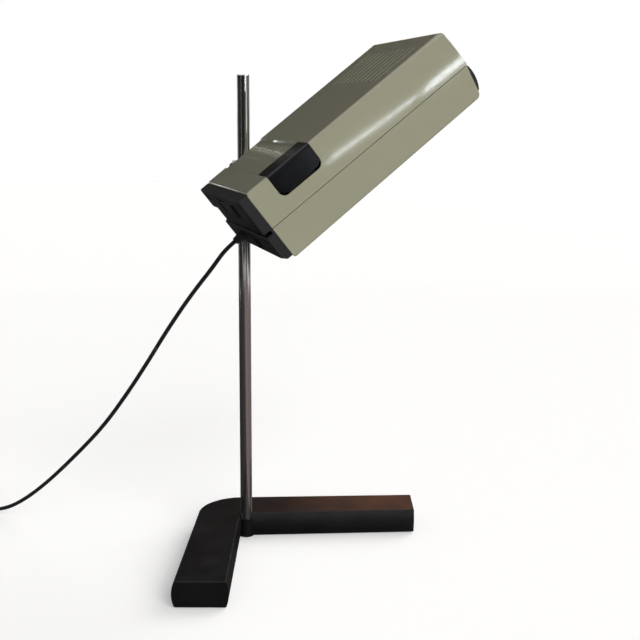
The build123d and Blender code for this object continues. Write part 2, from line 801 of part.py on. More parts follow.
# One kind of short screw holds the chassis from below, and the bracket and block from above.
with BuildPart(HEAD) as chassis_screws:
    reach = chassis_screw_reach - part_gap
    screw(level(chassis_z), chassis_places, m3_radius, reach, m3_head_radius, m3_head)
    screw(level(chassis_z + chassis_thick), top_places, m3_radius, -reach, m3_head_radius, -m3_head)
chassis_screws.part.label = "chassis_screws"

# Push switch under the key: its neck passes the chassis and guides the plunger.
switch_z = chassis_z - switch_height
neck_top = chassis_z + switch_neck
key_under = top_z - key_wall
plunger_foot = chassis_z - plunger_reach

with BuildPart(HEAD) as switch_body:
    switch_low = (switch_place[0] - switch_length / 2, switch_place[1] - switch_width / 2)
    switch_high = (switch_place[0] + switch_length / 2, switch_place[1] + switch_width / 2)
    slab(level(switch_z), switch_low, switch_high, switch_height)
    disc(level(chassis_z), switch_place, switch_neck_radius, switch_neck)
    bore_foot = plunger_foot - key_travel - plunger_room
    bore_length = neck_top - bore_foot
    disc(level(bore_foot), switch_place, plunger_radius + running_gap, bore_length, Mode.SUBTRACT)
switch_body.part.label = "switch_body"

with BuildPart(HEAD) as switch_plunger:
    disc(level(plunger_foot), switch_place, plunger_radius, key_under - plunger_foot)
switch_plunger.part.label = "switch_plunger"

with BuildPart(HEAD) as switch_spring:
    inner = plunger_radius + part_gap
    washer(level(neck_top), switch_place, inner + spring_wall, inner, key_under - neck_top)
switch_spring.part.label = "switch_spring"

# Bracket, nipple and nut that carry the lampholder.
LAMP = Plane(
    HEAD.from_local_coords(Vector(0, lamp_y, lamp_z)), x_dir=HEAD.x_dir, z_dir=-HEAD.y_dir
)
lamp_axis = Axis(LAMP.origin, LAMP.x_dir)
lamp_place = (lamp_y, lamp_z)

with BuildPart(HEAD) as holder_bracket:
    low = (lamp_y - bracket_width / 2, chassis_z - bracket_drop)
    slab(end(bracket_back), low, (lamp_y + bracket_width / 2, chassis_z), bracket_thick)
    flange_low = (bracket_back - bracket_flange, lamp_y - bracket_width / 2)
    flange_high = (holder_x0, lamp_y + bracket_width / 2)
    slab(level(chassis_z - bracket_thick), flange_low, flange_high, bracket_thick)
    disc(level(chassis_z), bracket_places, m3_radius + thread_gap, -bracket_thick, Mode.SUBTRACT)
    disc(end(bracket_back), lamp_place, nipple_radius + hole_gap, bracket_thick, Mode.SUBTRACT)
holder_bracket.part.label = "holder_bracket"

with BuildPart(HEAD) as holder_nipple:
    nipple_back = bracket_back - nipple_tail
    nipple_length = holder_x0 + nipple_bite - nipple_back
    washer(end(nipple_back), lamp_place, nipple_radius, nipple_bore, nipple_length)
holder_nipple.part.label = "holder_nipple"

with BuildPart(HEAD) as nipple_nut:
    with BuildSketch(end(bracket_back - nut_thick)):
        with Locations(lamp_place):
            RegularPolygon(nut_radius, 6)
            Circle(nipple_radius + thread_gap, mode=Mode.SUBTRACT)
    extrude(amount=nut_thick)
nipple_nut.part.label = "nipple_nut"

# Lampholder, with a collar behind the reflector's wall and a ring in front of it.
holder_bore_x = holder_x0 + holder_back

with BuildPart(HEAD) as lampholder:
    disc(end(holder_x0), lamp_place, holder_radius, holder_length)
    disc(end(mouth_x0 - collar_thick), lamp_place, collar_radius, collar_thick)
    disc(end(holder_bore_x), lamp_place, holder_bore, holder_length - holder_back, Mode.SUBTRACT)
    bite = nipple_bite + part_gap
    disc(end(holder_x0), lamp_place, nipple_radius + thread_gap, bite, Mode.SUBTRACT)
lampholder.part.label = "lampholder"

with BuildPart(HEAD) as holder_ring:
    ring_place = end(mouth_x0 + reflector_sheet)
    washer(ring_place, lamp_place, holder_ring_radius, holder_radius + thread_gap, holder_ring_thick)
holder_ring.part.label = "holder_ring"

# Bulb: contact, screw cap and a round frosted glass.
with BuildPart(HEAD) as bulb_contact:
    disc(end(holder_bore_x), lamp_place, bulb_contact_radius, bulb_contact_thick)
bulb_contact.part.label = "bulb_contact"

bulb_cap_x = holder_bore_x + bulb_contact_thick
glass_x = bulb_cap_x + bulb_cap_length
bulb_centre = bulb_cap_x + bulb_length - bulb_radius

with BuildPart(HEAD) as bulb_cap:
    disc(end(bulb_cap_x), lamp_place, bulb_cap_radius, bulb_cap_length)
bulb_cap.part.label = "bulb_cap"

with BuildPart(HEAD) as bulb_glass:
    inner = bulb_radius - glass_wall
    neck_inner = bulb_neck_end - glass_wall
    outer_x = bulb_centre - sqrt(bulb_radius**2 - bulb_neck_end**2)
    inner_x = bulb_centre - sqrt(inner**2 - neck_inner**2)
    with BuildSketch(LAMP):
        with BuildLine():
            Line((glass_x, bulb_neck_radius), (outer_x, bulb_neck_end))
            ThreePointArc(
                (outer_x, bulb_neck_end), (bulb_centre, bulb_radius), (bulb_centre + bulb_radius, 0)
            )
            Line((bulb_centre + bulb_radius, 0), (bulb_centre + inner, 0))
            ThreePointArc((bulb_centre + inner, 0), (bulb_centre, inner), (inner_x, neck_inner))
            Line((inner_x, neck_inner), (glass_x, bulb_neck_radius - glass_wall))
            Line((glass_x, bulb_neck_radius - glass_wall), (glass_x, bulb_neck_radius))
        make_face()
    revolve(axis=lamp_axis)
bulb_glass.part.label = "bulb_glass"

# Reflector: a folded tray from a small roof to the mouth, upright at the lampholder.
roof_z = top_z - roof_below_top


def tray(inset):
    shapes = []
    for z, end_inset, side_inset in ((roof_z - inset, roof_end_inset, roof_side_inset), (floor_z, 0, 0)):
        x1 = mouth_x1 - end_inset
        width = mouth_y1 - mouth_y0 - 2 * side_inset
        with BuildSketch(level(z)) as shape:
            with Locations(((mouth_x0 + x1) / 2, lamp_y)):
                Rectangle(x1 - mouth_x0 - 2 * inset, width - 2 * inset)
        shapes.append(shape.sketch)
    return shapes


with BuildPart(HEAD) as reflector:
    loft(tray(0), ruled=True)
    loft(tray(reflector_sheet), ruled=True, mode=Mode.SUBTRACT)
    disc(end(mouth_x0 - wall), lamp_place, holder_radius + hole_gap, 2 * wall, Mode.SUBTRACT)
reflector.part.label = "reflector"

# Terminal block, and two wires from it to the switch.
with BuildPart(HEAD) as terminal_block:
    low = (block_place[0] - block_length / 2, block_place[1] - block_width / 2)
    high = (block_place[0] + block_length / 2, block_place[1] + block_width / 2)
    slab(level(chassis_z - block_height), low, high, block_height)
    disc(level(chassis_z), block_places, m3_radius + thread_gap, -chassis_screw_reach, Mode.SUBTRACT)
terminal_block.part.label = "terminal_block"

with BuildPart() as inner_wires:
    for k in (0, 1):
        wire_x = near_x + wire_along + k * wire_spacing
        wire_z = chassis_z - wire_drop
        y0, y1 = low[1], switch_high[1]
        third = (y0 - y1) / 3
        sway = ((0, y0), (0, y0 - wire_end), (-wire_bow, y0 - third))
        sway += ((-wire_bow, y1 + third), (0, y1 + wire_end), (0, y1))
        route = [HEAD.from_local_coords(Vector(wire_x + bow, y, wire_z)) for bow, y in sway]
        with BuildLine() as wire_path:
            FilletPolyline(*route, radius=wire_end)
        with BuildSketch(Plane(origin=route[0], z_dir=-HEAD.y_dir)):
            Circle(wire_radius)
        sweep(path=wire_path.wire())
inner_wires.part.label = "inner_wires"

# Pivot: plate behind the cover's far wall, its rivets, and the bolt with its washers.
plate_in = -wall
plate_face = plate_in - pivot_plate_thick
washer_face = plate_face - running_gap
spring_face = washer_face - pivot_washer_thick
bolt_seat = spring_face - spring_washer_thick

with BuildPart(HEAD) as pivot_plate:
    low = (-pivot_plate_length / 2, pivot_plate_foot)
    high = (pivot_plate_length / 2, pivot_plate_foot + pivot_plate_height)
    slab(side(plate_in), low, high, pivot_plate_thick)
    disc(side(plate_in), (0, 0), pivot_radius + running_gap, pivot_plate_thick, Mode.SUBTRACT)
    disc(side(plate_in), rivets, rivet_radius + thread_gap, pivot_plate_thick, Mode.SUBTRACT)
pivot_plate.part.label = "pivot_plate"

with BuildPart(HEAD) as plate_rivets:
    disc(side(rivet_head), rivets, rivet_head_radius, rivet_head)
    disc(side(0), rivets, rivet_radius, wall + pivot_plate_thick)
    disc(side(plate_face), rivets, rivet_head_radius, rivet_head)
plate_rivets.part.label = "plate_rivets"

with BuildPart(HEAD) as friction_washer:
    bore = pivot_radius + hole_gap
    washer(side(friction_thick), (0, 0), pivot_boss_radius, bore, friction_thick - running_gap)
friction_washer.part.label = "friction_washer"

with BuildPart(HEAD) as pivot_washer:
    bore = pivot_radius + hole_gap
    washer(side(washer_face), (0, 0), pivot_washer_radius, bore, pivot_washer_thick)
pivot_washer.part.label = "pivot_washer"

with BuildPart(HEAD) as spring_washer:
    bore = pivot_radius + hole_gap
    washer(side(spring_face), (0, 0), spring_washer_radius, bore, spring_washer_thick)
spring_washer.part.label = "spring_washer"

with BuildPart(HEAD) as pivot_bolt:
    tip = friction_thick + pivot_thread - part_gap
    disc(side(tip), (0, 0), pivot_radius, tip - bolt_seat)
    with BuildSketch(side(bolt_seat)):
        RegularPolygon(pivot_head_radius, 6)
    extrude(amount=pivot_head)
pivot_bolt.part.label = "pivot_bolt"

# Gland: a flange inside the housing, a body through wall and cap, and a taper outside.
gland_place = (cord_y, cord_z)

with BuildPart(HEAD) as cord_gland:
    disc(end(near_x + wall), gland_place, gland_flange_radius, gland_flange)
    disc(end(near_x + wall), gland_place, gland_radius, -wall - cap_reach)
    with BuildSketch(end(cap_front)):
        with Locations(gland_place):
            Circle(gland_radius)
    with BuildSketch(end(cap_front - gland_out)):
        with Locations(gland_place):
            Circle(gland_tip_radius)
    loft()
    gland_tip = cap_front - gland_out
    gland_length = near_x + wall + gland_flange - gland_tip
    disc(end(gland_tip), gland_place, cord_radius + thread_gap, gland_length, Mode.SUBTRACT)
cord_gland.part.label = "cord_gland"

# The cord inside the head, from the gland's tip under the saddle and up into the block.
with BuildPart() as inner_cord:
    inner_end = saddle_x0 + saddle_length + inner_cord_radius
    route = [
        HEAD.from_local_coords(Vector(gland_tip, cord_y, cord_z)),
        HEAD.from_local_coords(Vector(inner_end, cord_y, cord_z)),
        HEAD.from_local_coords(Vector(inner_end, cord_y, chassis_z - block_height)),
    ]
    with BuildLine() as inner_path:
        FilletPolyline(*route, radius=inner_cord_radius)
    with BuildSketch(Plane(origin=route[0], z_dir=HEAD.x_dir)):
        Circle(cord_radius)
    sweep(path=inner_path.wire())
inner_cord.part.label = "inner_cord"

with BuildPart(HEAD) as cord_clamp:
    saddle_low = (saddle_x0, cord_y - saddle_width / 2)
    slab(level(saddle_foot), saddle_low, saddle_end, 2 * cord_radius + saddle_over)
    groove_radius = cord_radius + thread_gap
    disc(end(saddle_x0), gland_place, groove_radius, saddle_length, Mode.SUBTRACT)
    groove_low = (saddle_x0, cord_y - groove_radius)
    groove_high = (saddle_x0 + saddle_length, cord_y + groove_radius)
    slab(level(saddle_foot), groove_low, groove_high, cord_radius, Mode.SUBTRACT)
    saddle_top = saddle_foot + 2 * cord_radius + saddle_over
    hole_length = saddle_foot - saddle_top
    disc(level(saddle_top), saddle_places, m3_radius + hole_gap, hole_length, Mode.SUBTRACT)
cord_clamp.part.label = "cord_clamp"

with BuildPart(HEAD) as clamp_screws:
    reach = saddle_foot - saddle_top - saddle_screw_bite + part_gap
    screw(level(saddle_top), saddle_places, m3_radius, reach, m3_head_radius, -m3_head)
clamp_screws.part.label = "clamp_screws"

# Coil: the cord's unseen length, wound in layers that spiral in and out by turns. s counts turns.
turns = coil_layers * coil_turns_in_layer - 1 + coil_last_part
coil_outer = coil_radius + coil_pitch * coil_turns_in_layer / 2


def coil_at(s):
    layer = min(int(s // coil_turns_in_layer), coil_layers - 1)
    done = s - layer * coil_turns_in_layer
    if layer % 2:
        done = coil_turns_in_layer - done
    radius = coil_outer - coil_pitch * done
    z = cord_radius
    for k in range(1, coil_layers):
        t = min(max((s - k * coil_turns_in_layer) / coil_climb_turns + 0.5, 0), 1)
        z += coil_pitch * t * t * (3 - 2 * t)
    angle = -pi / 2 - 2 * pi * s
    return Vector(coil_centre[0] + radius * cos(angle), coil_centre[1] + radius * sin(angle), z)


def coil_heading(s):
    before, after = max(s - coil_turn_step, 0), min(s + coil_turn_step, turns)
    return (coil_at(after) - coil_at(before)).normalized()


def biarc(p0, t0, p1, t1):
    v = p1 - p0
    t = t0 + t1
    a, b, c = 2 * (t0.dot(t1) - 1), -2 * v.dot(t), v.dot(v)
    d = -c / b if abs(a) < 1e-9 else (-b - sqrt(b * b - 4 * a * c)) / (2 * a)
    middle = (p0 + p1 + (t0 - t1) * d) * 0.5
    heading = (middle - p0 - t0 * d).normalized()
    TangentArc(p0, middle, tangent=t0)
    TangentArc(middle, p1, tangent=heading)


# Free stretch: from the gland's tip, out along the head, then down in a slack sweep to the floor.
# It is three tubes, one for each joint that it crosses, and they meet halfway along a run.
coil_in = coil_at(0) - coil_heading(0) * coil_lead
exit_point = HEAD.from_local_coords(Vector(gland_tip, cord_y, cord_z))
route = [exit_point, exit_point - along * exit_run]
route += [Vector(*p) for p in sweep_by_head]
by_head = len(route)
route += [Vector(*p) for p in sweep_by_clamp]
by_clamp = len(route)
route += [Vector(*p) for p in sweep_to_floor]
route += [coil_in - coil_heading(0) * arrival_run, coil_in]


def bend_radius(k):
    before, after = route[k] - route[k - 1], route[k + 1] - route[k]
    shorter = min(before.length, after.length)
    return bend_share * shorter / tan(radians(before.get_angle(after)) / 2)


def cord_tube(first, last):
    points = route[first:last]
    radii = [bend_radius(k) for k in range(max(first, 1), min(last, len(route) - 1))]
    if first:
        points = [(route[first - 1] + route[first]) / 2] + points
    if last < len(route):
        points = points + [(route[last - 1] + route[last]) / 2]
    with BuildLine() as path:
        FilletPolyline(*points, radius=radii)
    with BuildSketch(Plane(origin=path.line @ 0, z_dir=path.line % 0)) as shape:
        Circle(cord_radius)
    sweep(shape.sketch, path=path.wire())
    return path.wire().length


with BuildPart() as cord_upper:
    upper_length = cord_tube(0, by_head)
cord_upper.part.label = "cord_upper"

with BuildPart() as cord_middle:
    middle_length = cord_tube(by_head, by_clamp)
cord_middle.part.label = "cord_middle"

with BuildPart() as cord_lower:
    lower_length = cord_tube(by_clamp, len(route))
cord_lower.part.label = "cord_lower"

# The coil starts and ends straight, and its tail comes down over the arriving cord to the plug.
plug_x = coil_centre[0] + coil_outer
plug_back = plug_front + plug_length
tail_end = Vector(plug_x, plug_back + plug_relief, plug_height / 2)
coil_out = coil_at(turns)

with BuildPart() as cord_coil:
    with BuildLine() as coil_path:
        Line(coil_in, coil_at(0))
        for k in range(round(coil_arcs_in_turn * turns)):
            s0, s1 = k / coil_arcs_in_turn, (k + 1) / coil_arcs_in_turn
            biarc(coil_at(s0), coil_heading(s0), coil_at(s1), coil_heading(s1))
        tail = [
            coil_out,
            coil_out + coil_heading(turns) * tail_run,
            tail_end + Vector(0, tail_straight, 0),
            tail_end,
        ]
        FilletPolyline(*tail, radius=tail_radius)
    with BuildSketch(Plane(origin=coil_in, z_dir=coil_heading(0))):
        Circle(cord_radius)
    sweep(path=coil_path.wire())
cord_coil.part.label = "cord_coil"

# What the cord measures: its length, and the least gap between the coil's turns.
coil_length = coil_path.wire().length
free_length = upper_length + middle_length + lower_length + coil_length
marks_on_coil = round(coil_length / cord_radius)
marks = [coil_path.wire() @ (k / marks_on_coil) for k in range(marks_on_coil + 1)]
apart = [(a - b).length for k, a in enumerate(marks) for b in marks[k + 8 :]]
print("free cord", round(free_length, 1), "coil's least gap", round(min(apart) - 2 * cord_radius, 2))

# Flat two-pin plug that lies beside the coil, with a tapered relief on the cord.
with BuildPart() as plug_body:
    with BuildSketch(Plane.XY):
        with Locations((plug_x, plug_front + plug_length / 2)):
            RectangleRounded(plug_width, plug_length, plug_corner_radius)
    extrude(amount=plug_height)
    fillet(plug_body.faces().sort_by(Axis.Z)[-1].edges(), plug_corner_radius / 2)
    back = Plane(origin=(plug_x, plug_back, plug_height / 2), z_dir=(0, 1, 0))
    with BuildSketch(back):
        Circle(plug_height / 2 - part_gap)
    with BuildSketch(back.offset(plug_relief)):
        Circle(plug_relief_radius)
    loft()
plug_body.part.label = "plug_body"

with BuildPart() as plug_pins:
    front = Plane(origin=(plug_x, plug_front, plug_height / 2), x_dir=(1, 0, 0), z_dir=(0, -1, 0))
    with BuildSketch(front):
        with Locations((-pin_spacing / 2, 0), (pin_spacing / 2, 0)):
            Circle(pin_radius)
    extrude(amount=pin_length)
plug_pins.part.label = "plug_pins"

pieces = (
    base_casting, base_pad, rod, rod_washer, rod_screw, slide_bush, bush_ring, clamp_body,
    clamp_knob, clamp_stud, top_cover, lower_housing, cover_screws, upper_end_cap, lower_end_cap,
    cap_screws, far_end_plate, switch_key, chassis_plate, chassis_screws, switch_body,
    switch_plunger, switch_spring, holder_bracket, holder_nipple, nipple_nut, lampholder,
    holder_ring, bulb_contact, bulb_cap, bulb_glass, reflector, terminal_block, inner_wires,
    pivot_plate, plate_rivets, friction_washer, pivot_washer, spring_washer, pivot_bolt,
    cord_gland, inner_cord, cord_clamp, clamp_screws, cord_upper, cord_middle, cord_lower,
    cord_coil, plug_body, plug_pins,
)
for piece in pieces:
    export_step(piece.part, f"parts/{piece.part.label}.step")
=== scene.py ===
import math

import bmesh
import bpy
from mathutils import Matrix, Vector


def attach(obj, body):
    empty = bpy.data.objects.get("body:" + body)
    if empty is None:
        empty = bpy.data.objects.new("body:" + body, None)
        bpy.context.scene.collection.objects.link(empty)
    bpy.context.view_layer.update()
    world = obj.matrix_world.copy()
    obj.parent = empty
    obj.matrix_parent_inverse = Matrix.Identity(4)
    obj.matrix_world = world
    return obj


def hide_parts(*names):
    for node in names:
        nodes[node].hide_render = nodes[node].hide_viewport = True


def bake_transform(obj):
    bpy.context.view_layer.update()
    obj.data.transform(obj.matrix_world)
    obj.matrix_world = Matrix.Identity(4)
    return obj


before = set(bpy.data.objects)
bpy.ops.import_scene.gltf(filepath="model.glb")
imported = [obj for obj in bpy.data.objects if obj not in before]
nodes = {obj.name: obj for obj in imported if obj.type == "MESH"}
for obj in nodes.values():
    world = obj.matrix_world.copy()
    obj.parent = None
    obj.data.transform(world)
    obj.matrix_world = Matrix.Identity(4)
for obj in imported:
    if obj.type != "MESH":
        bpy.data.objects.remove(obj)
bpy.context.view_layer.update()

# Camera: a little above the head's height and straight in front of the rod, looking down at the
# lamp. Its lens and place come from the lines of the base, the rod and the head.
camera = bpy.data.objects.new("camera", bpy.data.cameras.new("camera"))
bpy.context.scene.collection.objects.link(camera)
bpy.context.scene.camera = camera
yaw, pitch, roll = math.radians(0.192), math.radians(10.911), math.radians(0.358)
ahead = Vector((math.sin(yaw) * math.cos(pitch), math.cos(yaw) * math.cos(pitch), -math.sin(pitch)))
level_right = Vector((math.cos(yaw), -math.sin(yaw), 0))
level_up = level_right.cross(ahead)
right = level_right * math.cos(roll) + level_up * math.sin(roll)
up = level_up * math.cos(roll) - level_right * math.sin(roll)
stand = Vector((0.07128, -1.02882, 0.42558))
turned = Matrix((right, up, -ahead)).transposed().to_4x4()
camera.matrix_world = Matrix.Translation(stand) @ turned
camera.data.sensor_width = 36
camera.data.lens = 59.18
camera.data.clip_start, camera.data.clip_end = 0.05, 20
bpy.context.scene.view_settings.view_transform = "Standard"

# Cord: two-core mains flex of 4 mm in a black PVC sheath, 1.7 m long. It leaves the head's lower
# end cap through the gland, sweeps down to the table behind the lamp on the left, and its spare
# length is wound in a neat coil there, with the plug beside it.
millimetre = 0.001
cord_radius = 2
head_turn, head_lift = math.radians(17), math.radians(38.3)
along = Vector(
    (
        math.cos(head_lift) * math.cos(head_turn),
        math.cos(head_lift) * math.sin(head_turn),
        math.sin(head_lift),
    )
)
across = Vector((-math.sin(head_turn), math.cos(head_turn), 0))
out_of_top = along.cross(across)
pivot_height, rod_to_head = 363.5, 20
pivot = Vector((0, 0, pivot_height)) - across * rod_to_head


def on_head(x, y, z):
    return (pivot + along * x + across * y + out_of_top * z) * millimetre


gland_tip = on_head(-50, -46, -24.3)
coil_x, coil_y, coil_middle, coil_pitch = -322, 92, 24, 4.5
coil_layers, turns_in_layer, turns_in_top_layer, turns_of_climb = 4, 2, 1.75, 0.5
coil_turns = (coil_layers - 1) * turns_in_layer + turns_in_top_layer


def coil_point(s, grow=1.0):
    layer = min(int(s // turns_in_layer), coil_layers - 1)
    done = s - turns_in_layer * layer
    if layer % 2:
        done = turns_in_layer - done
    radius = (coil_middle + coil_pitch - coil_pitch * done) * grow
    z = cord_radius
    for k in range(1, coil_layers):
        t = min(max((s - turns_in_layer * k) / turns_of_climb + 0.5, 0), 1)
        z += coil_pitch * t * t * (3 - 2 * t)
    angle = -math.pi / 2 - 2 * math.pi * s
    place = Vector((coil_x + radius * math.cos(angle), coil_y + radius * math.sin(angle), z))
    return place * millimetre


def coil_heading(s):
    small_turn = 0.002
    before, after = max(s - small_turn, 0), min(s + small_turn, coil_turns)
    return (coil_point(after) - coil_point(before)).normalized()


straight_out, straight_in, last_run, straight_tail, into_plug = 12, 4, 20, 22, 12
coil_in = coil_point(0) - coil_heading(0) * straight_in * millimetre
route = [gland_tip, gland_tip - along * straight_out * millimetre]
for x, y, z in (
    (-24, -70, 290),
    (-46, -63, 262),
    (-70, -53, 227),
    (-93, -41, 190),
    (-117, -29, 154),
    (-142, -16, 120),
    (-172, 1, 87),
    (-206, 19, 52),
    (-238, 36, 24),
    (-266, 50, 7),
):
    route.append(Vector((x, y, z)) * millimetre)
route += [coil_in - coil_heading(0) * last_run * millimetre, coil_in]
points_in_turn = 16
grow = 1 / math.cos(math.pi / points_in_turn) ** 2
for k in range(int(coil_turns * points_in_turn) + 1):
    route.append(coil_point(k / points_in_turn, 1 + (grow - 1) / 2))
plug_y, plug_z = 32, 6.85
plug_back = Vector((coil_x + coil_middle + coil_pitch, plug_y, plug_z)) * millimetre
route += [
    coil_point(coil_turns) + coil_heading(coil_turns) * straight_tail * millimetre,
    plug_back + Vector((0, into_plug, 0)) * millimetre,
    plug_back,
]
line = bpy.data.curves.new("cord_line", "CURVE")
line.dimensions = "3D"
spline = line.splines.new("NURBS")
spline.points.add(len(route) - 1)
for point, place in zip(spline.points, route):
    point.co = (*place, 1)
spline.order_u = 3
spline.use_endpoint_u = True
spline.resolution_u = 8
line_object = bpy.data.objects.new("cord_line", line)
bpy.context.scene.collection.objects.link(line_object)
line_mesh = bpy.data.meshes.new_from_object(line_object)
centres = [v.co.copy() for v in line_mesh.vertices]
bpy.data.objects.remove(line_object)


def tube(name, path, radius, sides=14):
    mesh = bmesh.new()
    side = Vector((0, 0, 1))
    rings = []
    for k, place in enumerate(path):
        heading = (path[min(k + 1, len(path) - 1)] - path[max(k - 1, 0)]).normalized()
        side = (side - heading * side.dot(heading)).normalized()
        other = heading.cross(side)
        ring = []
        for j in range(sides):
            turn = 2 * math.pi * j / sides
            reach = side * math.cos(turn) + other * math.sin(turn)
            ring.append(mesh.verts.new(place + reach * radius))
        rings.append(ring)
    for a, b in zip(rings, rings[1:]):
        for j in range(sides):
            face = mesh.faces.new((a[j], a[(j + 1) % sides], b[(j + 1) % sides], b[j]))
            face.smooth = True
    mesh.faces.new(list(reversed(rings[0])))
    mesh.faces.new(rings[-1])
    data = bpy.data.meshes.new(name)
    mesh.to_mesh(data)
    mesh.free()
    piece = bpy.data.objects.new(name, data)
    bpy.context.scene.collection.objects.link(piece)
    return piece


def nearest(place):
    return min(range(len(centres)), key=lambda k: (centres[k] - place).length)


def hex_colour(text):
    channels = [int(text[k : k + 2], 16) / 255 for k in (0, 2, 4)]
    return [c / 12.92 if c <= 0.04045 else ((c + 0.055) / 1.055) ** 2.4 for c in channels] + [1]


def material(name):
    made = bpy.data.materials.new(name)
    made.use_nodes = True
    return made, made.node_tree, made.node_tree.nodes["Principled BSDF"]


def add(tree, kind, settings=None, inputs=None):
    node = tree.nodes.new(kind)
    for key, value in (settings or {}).items():
        setattr(node, key, value)
    for key, value in (inputs or {}).items():
        socket = node.inputs[key]
        if isinstance(value, bpy.types.NodeSocket):
            tree.links.new(value, socket)
        else:
            socket.default_value = value
    return node


# The sheath is extruded PVC, matt black, with the faint ripple that the extruder leaves. The cord is
# cut into three stretches at the height, swivel and tilt joints, plus the coil, and only the coil goes
# with the base.
sheath, tree, shader = material("extruded_pvc_black")
place = add(tree, "ShaderNodeTexCoord").outputs["Object"]
ripple = add(tree, "ShaderNodeTexNoise", inputs={"Vector": place, "Scale": 1 / 0.004, "Detail": 2})
tint = add(
    tree,
    "ShaderNodeMix",
    {"data_type": "RGBA"},
    {0: ripple.outputs[0], 6: hex_colour("121214"), 7: hex_colour("1d1c1e")},
)
tree.links.new(tint.outputs[2], shader.inputs["Base Color"])
bump = add(
    tree, "ShaderNodeBump", inputs={"Height": ripple.outputs[0], "Strength": 0.15, "Distance": 0.0002}
)
tree.links.new(bump.outputs["Normal"], shader.inputs["Normal"])
shader.inputs["Roughness"].default_value = 0.48

first_joint = nearest((route[4] + route[5]) / 2)
second_joint = nearest((route[8] + route[9]) / 2)
marks = [0, first_joint, second_joint, nearest(coil_in), len(centres) - 1]
cord_pieces = []
for k, name in enumerate(("upper", "middle", "lower", "coil")):
    path = centres[marks[k] : marks[k + 1] + 1]
    piece = tube("flex_" + name, path, cord_radius * millimetre)
    piece.data.materials.append(sheath)
    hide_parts("cord_" + name)
    cord_pieces.append((piece, path))
crossings = (("head", "carrier"), ("carrier", "slider"), ("slider", "base"))
for (piece, path), (start_body, end_body) in zip(cord_pieces, crossings):
    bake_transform(piece)
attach(cord_pieces[3][0], "base")


# Base casting: an L of grey iron, sand cast, with a boss in its inner corner for the rod. It is
# stove enamelled satin black, so the eye gets a soft sheen with a slight orange peel.
enamel, tree, shader = material("stove_enamelled_cast_iron")
place = add(tree, "ShaderNodeTexCoord").outputs["Object"]
peel = add(tree, "ShaderNodeTexNoise", inputs={"Vector": place, "Scale": 1 / 0.0018, "Detail": 3})
patches = add(tree, "ShaderNodeTexNoise", inputs={"Vector": place, "Scale": 1 / 0.03, "Detail": 4})
mixed = add(
    tree,
    "ShaderNodeMix",
    {"data_type": "RGBA"},
    {0: patches.outputs[0], 6: hex_colour("0c0c0f"), 7: hex_colour("101012")},
)
tree.links.new(mixed.outputs[2], shader.inputs["Base Color"])
sheen = add(
    tree, "ShaderNodeMapRange", inputs={0: patches.outputs[0], 1: 0.3, 2: 0.7, 3: 0.3, 4: 0.42}
)
tree.links.new(sheen.outputs[0], shader.inputs["Roughness"])
shader.inputs["Specular IOR Level"].default_value = 0.3
bump = add(
    tree, "ShaderNodeBump", inputs={"Height": peel.outputs[0], "Strength": 0.12, "Distance": 0.0003}
)
tree.links.new(bump.outputs[0], shader.inputs["Normal"])


def dress(finish, *names):
    for name in names:
        for part_slot in nodes[name].material_slots:
            part_slot.material = finish


dress(enamel, "base_casting")

# Base pad: a sheet of black rubber glued under the casting, cut a little smaller than it, so that
# the iron doesn't scratch the table. It is dull and slightly dusty, as is the cord's rubber gland.
rubber, tree, shader = material("cut_rubber_sheet")
place = add(tree, "ShaderNodeTexCoord").outputs["Object"]
grain = add(tree, "ShaderNodeTexNoise", inputs={"Vector": place, "Scale": 1 / 0.0012, "Detail": 5})
mixed = add(
    tree,
    "ShaderNodeMix",
    {"data_type": "RGBA"},
    {0: grain.outputs[0], 6: hex_colour("141414"), 7: hex_colour("2a2928")},
)
tree.links.new(mixed.outputs[2], shader.inputs["Base Color"])
bump = add(
    tree, "ShaderNodeBump", inputs={"Height": grain.outputs[0], "Strength": 0.4, "Distance": 0.0002}
)
tree.links.new(bump.outputs[0], shader.inputs["Normal"])
shader.inputs["Roughness"].default_value = 0.85
dress(rubber, "base_pad", "cord_gland")

# Rod: a drawn steel bar, ground, polished and chromium plated, with a flat bevelled top. The
# plating mirrors the room, and fine marks along the bar come from the clamp that slides on it.
chrome, tree, shader = material("polished_chromium_plate")
place = add(tree, "ShaderNodeTexCoord").outputs["Object"]
stretched = add(tree, "ShaderNodeMapping", inputs={"Vector": place, "Scale": (1400, 1400, 18)})
marks_along = add(
    tree, "ShaderNodeTexNoise", inputs={"Vector": stretched.outputs[0], "Scale": 1, "Detail": 3}
)
sheen = add(
    tree, "ShaderNodeMapRange", inputs={0: marks_along.outputs[0], 1: 0.35, 2: 0.75, 3: 0.09, 4: 0.11}
)
tree.links.new(sheen.outputs[0], shader.inputs["Roughness"])
mixed = add(
    tree,
    "ShaderNodeMix",
    {"data_type": "RGBA"},
    {0: marks_along.outputs[0], 6: hex_colour("d5d4d3"), 7: hex_colour("dededf")},
)
tree.links.new(mixed.outputs[2], shader.inputs["Base Color"])
shader.inputs["Metallic"].default_value = 1
dress(chrome, "rod")

